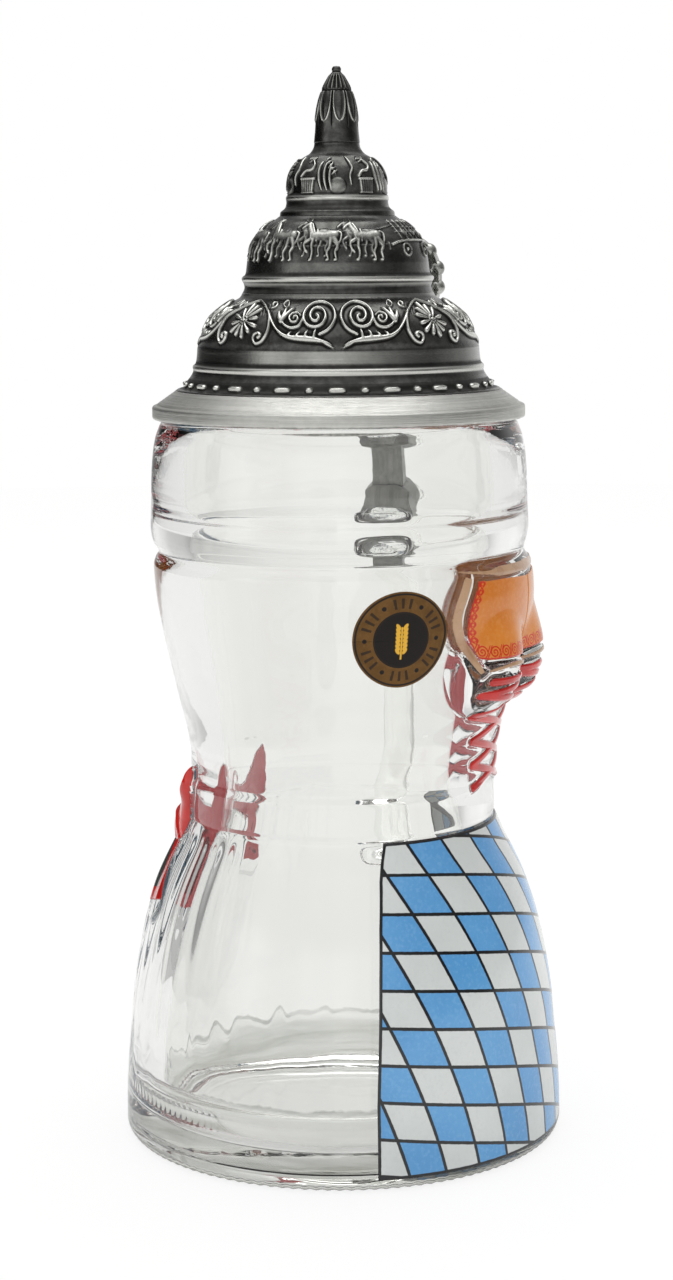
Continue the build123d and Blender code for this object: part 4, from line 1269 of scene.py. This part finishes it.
# Lower frieze, mirrored scrolls: share of the full height, half width (None where the
# points carry their own), points (phi, z[, half width])
LOWER_HEIGHT = 0.80
LOWER_STROKES = [
    # large spiral, small spiral and the stem under it
    (1.0, 0.37, [
        (7.68, 192.04), (4.72, 192.86), (2.45, 194.17), (1.3, 195.75), (2.14, 197.43),
        (5.09, 198.52), (8.81, 198.92), (12.61, 198.51), (14.95, 197.42), (15.38, 196.01),
        (13.97, 194.56), (11.43, 193.75), (8.6, 193.76), (6.35, 194.58), (5.5, 195.86),
        (6.73, 197.11), (9.48, 197.7), (11.82, 197.21), (12.37, 196.07), (11.05, 195.09),
        (9.02, 194.98), (8.49, 195.75), (9.56, 196.21)]),
    (0.9, 0.25, [
        (16.93, 196.11), (18.89, 196.65), (20.97, 196.45), (21.79, 195.71), (20.87, 194.95),
        (19.02, 194.74), (17.76, 195.18), (18.25, 195.83), (19.54, 195.94), (19.78, 195.56)]),
    (1.0, None, [(15.54, 195.73, 0.2), (15.76, 194.7, 0.3), (17.18, 193.74, 0.34),
                 (20.02, 193.45, 0.34), (22.94, 193.99, 0.3), (24.6, 194.8, 0.18)]),
    # three-pointed leaf at the stem's end
    (1.05, None, [(25.01, 194.8, 0.55), (23.32, 196.31, 0.6), (21.38, 197.68, 0.15)]),
    (1.05, None, [(25.18, 194.8, 0.5), (24.79, 196.3, 0.55), (25.07, 197.94, 0.12)]),
    (1.05, None, [(25.3, 194.8, 0.5), (26.95, 196.02, 0.55), (28.3, 197.24, 0.12)]),
    # two curls below the upper edge
    (0.75, 0.18, [(28.09, 199.32), (28.7, 198.7), (26.96, 198.0), (25.6, 197.95),
                  (25.4, 198.5), (26.88, 199.2), (28.09, 199.32)]),
    (0.8, 0.22, [(34.0, 197.6), (32.2, 197.9), (31.96, 198.46), (33.68, 198.94),
                 (35.06, 198.72), (34.3, 198.3)]),
    # long leaf sweeping up over the daisy, then the teeth along it
    (1.0, None, [
        (2.44, 189.58, 0.13826), (5.14, 190.29, 0.38713), (9.1, 190.80, 0.71896),
        (13.61, 191.1, 0.82957), (18.19, 191.27, 0.69131), (21.89, 191.67, 0.49774),
        (25.48, 192.74, 0.33183), (28.81, 194.37, 0.30418), (32.41, 196.27, 0.30418),
        (38.31, 198.05, 0.33183), (43.0, 198.9, 0.35948), (45.2, 199.1, 0.35948)]),
    (0.95, None, [(9.87, 191.3, 0.42), (9.72, 192.39, 0.28), (9.2, 193.4, 0.07)]),
    (0.95, None, [(13.38, 191.43, 0.42), (13.34, 192.25, 0.26), (12.7, 193.0, 0.07)]),
    (0.95, None, [(17.2, 191.55, 0.4), (16.79, 192.1, 0.24), (15.9, 192.7, 0.07)]),
    (0.95, None, [(20.6, 191.8, 0.36), (20.3, 192.3, 0.2), (19.6, 192.8, 0.07)]),
    (0.95, None, [(6.0, 190.3, 0.3), (4.0, 189.6, 0.26), (1.6, 188.95, 0.1)]),
    # scroll beside the daisy
    (1.0, 0.36, [
        (34.12, 196.94), (31.42, 195.45), (30.35, 193.53), (30.83, 191.88), (32.62, 190.35),
        (34.84, 189.91), (36.55, 190.73), (36.59, 191.83), (34.9, 192.26), (33.53, 191.72),
        (34.27, 191.16)]),
]


def lower_frieze():
    """Mirrored scrolls and daisies, repeated four times round."""
    relief = Relief(90.0, 31.0, lower, 188.5, 200.6)
    full = LOWER_HEIGHT
    for share, half_width, points in LOWER_STROKES:
        relief.stroke(points, full * share, half_width, mirror=True)
    relief.blob(9.4, 196.1, 0.42, 0.42, full, mirror=True)
    relief.blob(34.4, 191.35, 0.5, 0.42, full, mirror=True)
    # daisy of long and short petals, flattened a little in height
    phi, z, squash = 45.0, 194.9, 0.86
    # place along the petal, half width
    petal = ((0.0, 0.18), (0.35, 0.36), (0.72, 0.60), (0.93, 0.46), (1.0, 0.24))
    for k in range(12):
        turn = math.radians(30 * k + 12)
        root, tip = 0.9, 4.3 if k % 2 else 3.8
        points = []
        for along, half_width in petal:
            reach = root + (tip - root) * along
            points.append((phi + reach * math.cos(turn) / relief.scale,
                           z + reach * math.sin(turn) * squash, half_width))
        relief.stroke(points, full * 0.92)
    for k in range(8):
        turn = math.radians(45 * k)
        relief.blob(phi + 0.78 * math.cos(turn) / relief.scale,
                    z + 0.78 * squash * math.sin(turn), 0.30, 0.30, full * 1.05)
    relief.blob(phi, z, 0.52, 0.52, full * 1.1)
    # fern fans over the daisy's shoulders
    for k in range(5):
        relief.stroke([(40.5 - 1.1 * k, 198.0 + 0.22 * k, 0.16),
                       (38.6 - 1.2 * k, 196.9 + 0.2 * k, 0.12),
                       (37.6 - 1.3 * k, 196.0 + 0.1 * k, 0.06)], full * 0.5, mirror=True)
    relief.finish(radius=0.55)
    return relief


def beads(phi, z):
    """Long and round beads in turn on the ledge above the rim."""
    height = np.zeros((len(z), len(phi)))
    wall = wall_map(lower)
    across = (np.interp(z, *wall)[:, None] - np.interp(179.75, *wall)) / 0.78
    for k in range(18):
        # phi of the centre, half length, power of the outline
        for centre, half, power in ((k * 20.0 - 0.5, 2.05, 4), (k * 20.0 + 9.5, 0.95, 2)):
            along = wrap(phi - centre)[None, :] * math.radians(36.4)
            distance = (along / half) ** power + across ** 2
            height = np.maximum(height, 0.95 * np.clip(1 - distance, 0, 1) ** 0.5)
    return height


# Horse facing lower phi, points (along, up, half width) in mm from the middle of the body
HORSE = [
    # barrel of the body, neck, head
    [(-2.015, -0.065, 0.975), (-0.975, 0.0, 1.0075), (0.325, -0.065, 0.975),
     (1.56, 0.13, 1.105), (2.21, 0.195, 1.04)],
    [(-2.275, 0.26, 0.8125), (-2.99, 1.3, 0.65), (-3.38, 2.015, 0.52)],
    [(-3.25, 2.145, 0.4875), (-3.965, 1.82, 0.4225), (-4.81, 1.235, 0.2925)],
    # forelegs, one lifted
    [(-1.95, -0.715, 0.4225), (-2.145, -1.885, 0.2925), (-1.95, -2.99, 0.2275),
     (-2.145, -4.16, 0.195), (-2.405, -4.485, 0.26)],
    [(-2.405, -0.585, 0.39), (-3.64, -1.495, 0.26), (-3.38, -2.535, 0.195),
     (-2.99, -2.99, 0.2275)],
    # hind legs
    [(2.145, -0.52, 0.65), (2.86, -1.885, 0.3575), (2.405, -2.99, 0.26),
     (2.6, -4.225, 0.195), (2.34, -4.485, 0.26)],
    [(1.56, -0.585, 0.52), (1.365, -2.015, 0.2925), (0.91, -3.055, 0.2275),
     (1.105, -4.225, 0.195), (0.845, -4.485, 0.26)],
    # tail
    [(2.99, 0.65, 0.2275), (3.64, 0.325, 0.2275), (3.51, -0.715, 0.2275),
     (3.12, -1.69, 0.13)],
]
# Higher strokes over it: ear, mane, breast and girth straps, cheek
HARNESS = [
    [(-3.315, 2.405, 0.13), (-3.185, 3.055, 0.0975)],
    [(-2.73, 2.145, 0.1625), (-2.145, 1.17, 0.195), (-1.82, 0.455, 0.1625)],
    [(-2.665, 0.26, 0.1625), (-2.405, -0.585, 0.1625), (-1.885, -1.105, 0.1625)],
    [(-1.3, 1.105, 0.1625), (-1.17, 0.0, 0.13), (-1.3, -1.04, 0.13)],
    [(-4.225, 1.885, 0.0975), (-4.095, 1.3, 0.0975)],
]


def horse(relief, phi, z, size, height):
    for strokes, share in ((HORSE, 1.0), (HARNESS, 1.25)):
        for points in strokes:
            relief.stroke([(phi + along * size / relief.scale, z + up * size, half * size)
                           for along, up, half in points], height * share)
    # haunch
    relief.blob(phi + 2.145 * size / relief.scale, z + 0.26 * size,
                0.975 * size, 0.975 * size, height * 1.12)


def middle_frieze():
    """Four pairs of draught horses and a barrel waggon, repeated twice round."""
    relief = Relief(180.0, 20.6, middle, 206.5, 218.4, cell=0.075, weight=1.15)
    full = 0.56
    for phi in (-68.0, -39.5, -10.0, 20.0):
        horse(relief, phi - 5.2, 214.35, size=1.10, height=full * 0.66)
        horse(relief, phi + 0.4, 213.9, size=1.20, height=full)
    # draught pole, reins and posts
    relief.stroke([(-82.0, 211.75), (-45.0, 211.6), (0.0, 211.7), (38.0, 211.9)],
                  full * 0.6, 0.14)
    relief.stroke([(-72.0, 214.6), (-40.0, 214.9), (-8.0, 214.8), (24.0, 215.1),
                   (46.0, 216.3)], full * 1.2, 0.09)
    for phi in (-53.5, -24.0, 5.5, 35.5):
        relief.stroke([(phi, 212.3), (phi, 210.9)], full * 0.6, 0.2)
    # waggon: bed, sloping stakes, rails, barrels and wheels
    relief.stroke([(38.0, 211.9), (46.0, 212.6), (62.0, 212.9), (84.0, 212.6)], full, 0.24)
    for k in range(6):
        relief.stroke([(45.0 + 6.4 * k, 217.3), (48.2 + 6.4 * k, 213.1)], full * 0.95, 0.13)
    for k in range(3):
        relief.stroke([(43.6 + 0.8 * k, 216.9 - 1.1 * k), (79.6 + 0.8 * k, 216.9 - 1.1 * k)],
                      full * 0.9, 0.11)
    for phi in (54.0, 66.0, 77.0):
        relief.blob(phi, 214.5, 1.25, 0.85, full * 0.8)
        for hoop in (phi - 1.4, phi + 1.4):
            relief.stroke([(hoop, 215.2), (hoop, 213.8)], full, 0.1)
    axle_z = 210.8
    for phi, wheel in ((50.5, 1.35), (74.5, 1.5)):
        def on_wheel(turn, radius):
            return (phi + radius * math.cos(turn) / relief.scale,
                    axle_z + radius * math.sin(turn))

        relief.stroke([on_wheel(turn, wheel) for turn in np.linspace(0, 2 * np.pi, 40)],
                      full * 1.05, 0.17)
        relief.blob(phi, axle_z, 0.34, 0.34, full * 1.2)
        for k in range(8):
            turn = math.pi * k / 4
            relief.stroke([on_wheel(turn, 0.2), on_wheel(turn, wheel)], full * 0.7, 0.08)
    relief.finish(radius=0.42)
    return relief


def upper_frieze():
    """Cups, bosses, barley and scrolls, repeated five times round."""
    relief = Relief(72.0, 11.6, upper, 223.2, 233.0, cell=0.075, weight=1.35)
    full = 0.60
    boss, cup = 0.5, 35.5            # phi of their middles

    def draw(middle_phi, points, share, half_width=None):
        """Points are (mm along, z[, half width])."""
        relief.stroke([(middle_phi + p[0] / relief.scale, *p[1:]) for p in points],
                      full * share, half_width)

    relief.blob(boss, 225.3, 2.05, 1.9, full * 0.85, power=0.35)
    # fluted cup with a rim and a foot, and a scroll rising from it
    for x in (-1.5, -0.9, -0.3, 0.3, 0.9, 1.5):
        draw(cup, [(x * 1.02, 226.7), (x * 0.82, 223.9)], 0.8, 0.27)
    draw(cup, [(-1.85, 226.9), (1.85, 226.9)], 1.1, 0.2)
    draw(cup, [(-1.55, 223.75), (1.55, 223.75)], 1.0, 0.18)
    draw(cup, [(-1.9, 227.5, 0.25), (-0.8, 228.6, 0.28), (0.8, 228.9, 0.28),
               (1.4, 229.9, 0.25), (0.4, 230.9, 0.2), (-0.9, 230.6, 0.14)], 1.0)
    for k in range(5):
        draw(cup, [(-1.4 + 0.5 * k, 231.2, 0.2), (-1.0 + 0.5 * k, 231.9, 0.08)], 0.8)
    # ear of barley over the boss: grains on both sides of a stalk
    for k in range(5):
        x, z = (-3.6 + 0.62 * k) * 0.75, 231.2 - 0.72 * k
        draw(boss, [(x, z, 0.22), (x - 0.55, z - 0.55, 0.1)], 1.0)
        draw(boss, [(x + 0.2, z + 0.1, 0.22), (x + 0.75, z + 0.35, 0.1)], 1.0)
    draw(boss, [(-3.0, 231.4), (-0.4, 227.9)], 0.7, 0.12)
    # a curl between boss and cup, and three leaning leaves, all in (phi, z, half width)
    relief.stroke([(11.9, 231.9, 0.1), (16.5, 230.4, 0.26), (18.7, 229.2, 0.3),
                   (15.3, 227.6, 0.24), (16.3, 225.6, 0.12)], full * 0.9)
    for root, top in ((54.0, 50.0), (60.0, 57.0), (65.5, 64.0)):
        relief.stroke([(root, 224.3, 0.12), ((root + top) / 2 - 1.5, 226.9, 0.32),
                       (top, 229.0, 0.28), (top + 3.0, 230.8, 0.1)], full * 0.9)
    relief.finish(radius=0.36)
    return relief


build_tier("lid_lower_tier", lower, LOWER_INNER, lower_frieze(), 960,
           bands=[(183.1, 184.3, 1.0), (185.6, 188.3, 0.42), (200.2, 200.9, 0.25)],
           dark=[(179.0, 181.2, 0.10), (184.6, 185.1, 0.10), (182.2, 182.8, 0.06),
                 (188.9, 189.2, 0.03)], ledge=beads)
build_tier("lid_middle_tier", middle, MIDDLE_INNER, middle_frieze(), 720,
           bands=[(203.7, 204.6, 1.0), (202.9, 203.25, 0.35), (205.8, 207.8, 0.12)],
           dark=[(201.2, 202.4, 0.05), (204.9, 205.4, 0.10), (203.3, 203.5, 0.08),
                 (217.6, 218.6, 0.05)])
build_tier("lid_upper_tier", upper, UPPER_INNER, upper_frieze(), 500,
           bands=[(222.3, 223.1, 1.0)],
           dark=[(219.9, 220.4, 0.10), (221.0, 221.9, 0.05), (223.3, 223.7, 0.08),
                 (232.9, 233.6, 0.08)])

# ------------------------------------------------------------------ finial and rim
# Finial from the axis to the axis, (radius, z)
BUD = [(0.0, 231.5), (2.58, 231.5), (2.6, 235.38), (5.35, 235.42), (5.25, 236.4),
       (5.08, 238.0), (4.98, 239.6), (4.86, 241.4), (4.62, 243.3), (4.25, 245.1),
       (3.85, 246.4), (3.55, 247.05), (3.42, 247.15), (3.46, 247.45), (3.05, 248.4),
       (2.5, 249.4), (1.9, 250.4), (1.25, 251.3), (1.05, 251.5), (1.0, 251.7),
       (1.10, 251.95), (1.06, 252.35), (0.8, 252.75), (0.0, 252.9)]
# Flange as a closed loop, (radius, z)
RIM = [(34.2, 168.8), (35.75, 168.8), (35.95, 168.95), (36.0, 169.3), (36.0, 171.7),
       (36.2, 171.8), (42.9, 171.8), (43.45, 171.86), (43.72, 172.0), (43.84, 172.3),
       (43.86, 172.9), (43.86, 174.3), (43.8, 174.6), (43.6, 174.85), (43.3, 175.0),
       (42.9, 175.18), (42.75, 175.22), (42.6, 175.36), (38.9, 177.95), (38.6, 178.15),
       (38.35, 178.4), (37.8, SEAT), (34.2, SEAT)]


def build_finial():
    """Bud of eight petals with a fluted tip and a ball."""
    profile = resample(BUD, 0.16)
    z = profile[:, 1:]
    radius = np.maximum(profile[:, :1], 0.4)

    def fields(phi):
        # degrees to the nearest petal's middle
        off = np.abs(wrap((phi - 8.0) * 8) / 8)[None, :]
        across = off * math.pi / 180 * radius
        half = 1.36 * np.sqrt(np.clip(1 - ((z - 244.6) / 4.3) ** 2, 0, 1))
        half = np.where(z > 244.6, np.minimum(np.maximum(half, 1.2 * ease(248.4, 246.4, z)),
                                              radius * 0.33), half)
        edge = across - half
        petal = ease(239.6, 240.6, z) * ease(247.25, 246.9, z)
        height = petal * (0.24 * gauss(edge, 0.0, 0.22) - 0.06 * ease(0.0, -0.4, edge)
                          + 0.10 * ease(-0.5, -1.1, edge))
        seam = (22.5 - off) * math.pi / 180 * radius
        seam_on = ease(238.2, 240.5, z) * ease(247.2, 246.8, z)
        height = height - seam_on * 0.30 * gauss(seam, 0.0, 0.12 + 0.11 * ease(239, 247, z))
        flutes = 0.5 + 0.5 * np.cos(np.radians(phi * 18))[None, :]
        height = height + ease(247.4, 247.9, z) * ease(251.2, 250.6, z) * (0.30 * flutes - 0.16)
        height = height * ease(235.3, 235.6, z)
        cavity = (height + petal * 0.05 - seam_on * 0.1 * gauss(seam, 0.0, 0.35)
                  - 0.25 * gauss(z, 247.25, 0.2) - 0.2 * gauss(z, 251.6, 0.2))
        relief = np.clip(height, 0, 1) * 1.6 + 0.16 * ease(251.6, 252.0, z)
        return height, {"relief": relief, "cavity": cavity, "band": 0.0 * height}

    mesh = turned_mesh("lid_finial_bud", profile, 288, fields, on_axis=True)
    add_object("lid_finial_bud", mesh, "lid", MAT_ANTIQUE, ("lid_finial",))


def build_rim():
    """Turned flange with fine tool marks on its slope."""
    profile = resample(RIM, 0.3)
    radius, z = profile[:, :1], profile[:, 1:]

    def fields(phi):
        flat = np.zeros((len(profile), len(phi)))
        slope = ease(175.1, 175.3, z) * ease(178.3, 178.1, z)
        marks = slope * 0.03 * np.sin(radius * 9.0) - 0.12 * gauss(z, 175.2, 0.12)
        return flat + marks, {"relief": flat, "cavity": flat - 0.12 * gauss(z, 178.4, 0.2),
                              "band": flat + 0.85 * ease(171.9, 172.2, z)}

    mesh = turned_mesh("lid_flange", profile, 480, fields)
    add_object("lid_flange", mesh, "lid", MAT_RIM, ("lid_rim",))


def dress_cad_pieces():
    """The hinge pieces keep their CAD shape and only take a material."""
    for name, material in (("lid_tang", MAT_STRAP), ("hinge_strap", MAT_STRAP),
                           ("hinge_pin", MAT_RIM), ("thumb_lift", MAT_CAST)):
        for ob in bpy.data.objects:
            if ob.get("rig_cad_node") != name:
                continue
            for slot in ob.material_slots:
                slot.link = "OBJECT"
                slot.material = material
            if not ob.material_slots:
                ob.data.materials.append(material)


build_finial()
build_rim()
dress_cad_pieces()

# ------------------------------------------------------------------ stage
# Level direction in which the camera looks
FORWARD_X = math.sin(math.radians(CAMERA_ALPHA))
FORWARD_Y = math.cos(math.radians(CAMERA_ALPHA))


def floor_material():
    """Pale floor that glows a little; mostly an even white to the camera and through
    the glass, and an ordinary surface to other rays."""
    mat = new_material("pale_floor")
    cloud = mat.noise(mat.coordinates(), scale=4.0, detail=3.0, rough=0.5)
    mat.surface(Base_Color=mat.mix(cloud, (0.90, 0.90, 0.895), (0.925, 0.925, 0.92)),
                Roughness=0.8, Specular_IOR_Level=0.0)
    camera = mat.make("ShaderNodeLightPath", "Is Camera Ray", {})
    through = mat.make("ShaderNodeLightPath", "Is Transmission Ray", {})
    glow = mat.make("ShaderNodeEmission", 0, {"Strength": 0.835 + camera * 0.185})
    nodes = mat.tree.nodes
    plain = Value(mat, nodes["Principled BSDF"].outputs[0])
    surface = mat.make("ShaderNodeMixShader", 0,
                       {0: camera * 0.84 + through * 0.82, 1: plain, 2: glow})
    mat.put(nodes["Material Output"].inputs["Surface"], surface)
    return mat.owner


def build_floor():
    """A round floor, finely divided near the object."""
    radii = [40.0, 80.0, 140.0, 220.0, 340.0, 520.0, 800.0, 1200.0, 1800.0]
    n = 96
    turns = np.arange(n) * 2 * np.pi / n
    points = [[0.0, 0.0, 0.0]]
    for radius in radii:
        points += [[radius * math.cos(t), radius * math.sin(t), 0.0] for t in turns]
    j = np.arange(n)
    j2 = (j + 1) % n
    fan = np.stack([np.zeros(n, int), 1 + j, 1 + j2], 1)
    rings = []
    for k in range(len(radii) - 1):
        first = 1 + k * n
        rings.append(np.stack([first + j, first + n + j, first + n + j2, first + j2], 1))
    floor = link("studio_floor", make_mesh("studio_floor", points, [fan, np.vstack(rings)]))
    floor.data.materials.append(floor_material())


# Brightness round the object: (degrees, value), 0 from behind the camera, positive to the
# camera's right. The metal mirrors large sources on the camera's side, brightest at the
# left, between dark sides.
AROUND_METAL = [
    (-180, 0.75), (-164, 0.40), (-152, 0.05), (-120, 0.01), (-94, 0.02), (-78, 0.10),
    (-67, 1.00), (-58, 1.55), (-46, 1.20), (-36, 0.95), (-20, 1.45), (0, 1.40), (12, 0.95),
    (26, 0.66), (40, 0.36), (60, 0.16), (82, 0.10), (96, 0.24), (118, 0.42), (142, 0.85),
    (160, 1.0), (180, 0.75)]
# Through the glass: an even pale tent with soft darker joints at its sides
AROUND_TENT = [
    (-180, 0.93), (-130, 0.93), (-119, 0.66), (-108, 0.38), (-98, 0.54), (-84, 0.46),
    (-72, 0.75), (-50, 1.0), (-20, 0.85), (0, 0.95), (20, 0.85), (50, 1.0), (64, 0.74),
    (76, 0.42), (88, 0.54), (100, 0.58), (111, 0.36), (120, 0.68), (130, 0.93), (180, 0.93)]
# Shares over elevation: (0 straight down to 1 straight up, value)
SHADE = [(0.0, 0.3), (0.575, 0.0), (0.625, 0.85), (0.72, 0.80), (0.77, 0.0), (1.0, 0.0)]
OVERHEAD = [(0.0, 0.5), (0.45, 0.0), (0.70, 0.0), (0.79, 1.0), (1.0, 1.0)]
VEIL = [(0.0, 0.6), (0.5, 0.0), (0.62, 0.3), (0.72, 0.3), (0.84, 1.0), (1.0, 1.0)]


def build_world():
    """A light tent; the camera itself sees plain white."""
    world = bpy.data.worlds.new("studio")
    bpy.context.scene.world = world
    sky = Graph(world)
    x, y, z = sky.split(sky.coordinates("Generated"))
    toward = (x * FORWARD_X + y * FORWARD_Y) * -1.0
    right = x * FORWARD_Y + y * -FORWARD_X
    around = sky.math("ARCTAN2", right, toward) / (2 * math.pi) + 0.5
    elevation = sky.math("ARCSINE", z) / math.pi + 0.5

    def ring(stops):
        return sky.ramp(around, [(degrees / 360.0 + 0.5, v) for degrees, v in stops])

    def grey(value):
        return (value, value, value)

    metal = sky.mix(sky.ramp(elevation, SHADE), ring(AROUND_METAL), grey(0.30))
    top = 0.86 + right * -0.25       # overhead light, stronger on the left
    top = sky.make("ShaderNodeCombineColor", 0, {0: top, 1: top, 2: top})
    metal = sky.mix(sky.ramp(elevation, OVERHEAD), metal, top)
    tent = sky.mix(sky.ramp(elevation, VEIL), ring(AROUND_TENT), grey(0.92))
    # reflections inside the glass mostly see the tent, those on open metal the dark room
    path = sky.node("ShaderNodeLightPath", {}).outputs
    inside = sky.math("GREATER_THAN", Value(sky, path["Transmission Depth"]), 0.5)
    mirror = Value(sky, path["Is Glossy Ray"]) * (1.0 - inside * 0.52)
    seen = sky.mix(mirror, tent, metal)
    seen = sky.mix(Value(sky, path["Is Camera Ray"]), seen, grey(1))
    background = sky.tree.nodes["Background"]
    sky.put(background.inputs[0], seen)
    sky.put(background.inputs[1], 1.0)


def aim(ob, direction):
    """Quaternion pointing an object's -Z along a direction, with Y up."""
    ob.rotation_mode = "QUATERNION"
    return direction.to_track_quat("-Z", "Y")


def build_camera():
    distance, height = 613.0, 209.17         # mm from the axis and above the floor
    pitch = math.radians(8.4)                # looking down
    yaw = 0.0014263676                       # radians, turned a little to the left
    roll = -math.atan(0.0068)
    data = bpy.data.cameras.new("cam")
    data.sensor_fit = "VERTICAL"
    data.sensor_height = 36.0
    data.lens = 72.95625
    data.clip_start = 0.01
    data.clip_end = 50.0
    camera = link("cam", data)
    look = Vector((FORWARD_X * math.cos(pitch), FORWARD_Y * math.cos(pitch), -math.sin(pitch)))
    look = Matrix.Rotation(yaw, 3, "Z") @ look
    camera.rotation_quaternion = aim(camera, look) @ Matrix.Rotation(roll, 3, "Z").to_quaternion()
    x, y = polar(CAMERA_ALPHA, distance)
    camera.location = Vector((float(x), float(y), height)) * MM
    bpy.context.scene.camera = camera


def build_light():
    """Soft square light overhead, a little beyond the mug."""
    data = bpy.data.lights.new("top_soft", "AREA")
    data.shape = "RECTANGLE"
    data.size = data.size_y = 1.1
    data.energy = 7.5
    light = link("top_soft", data)
    location = Vector((FORWARD_X * 0.25, FORWARD_Y * 0.25, 1.5))
    light.location = location
    light.rotation_quaternion = aim(light, Vector((0, 0, 0.1)) - location)


build_floor()
build_world()
build_camera()
build_light()

scene = bpy.context.scene
scene.view_settings.view_transform = "Standard"
scene.view_settings.look = "None"

# the glass needs deep light paths
scene.cycles.max_bounces = 28
scene.cycles.transmission_bounces = 24
scene.cycles.glossy_bounces = 12
scene.cycles.diffuse_bounces = 4
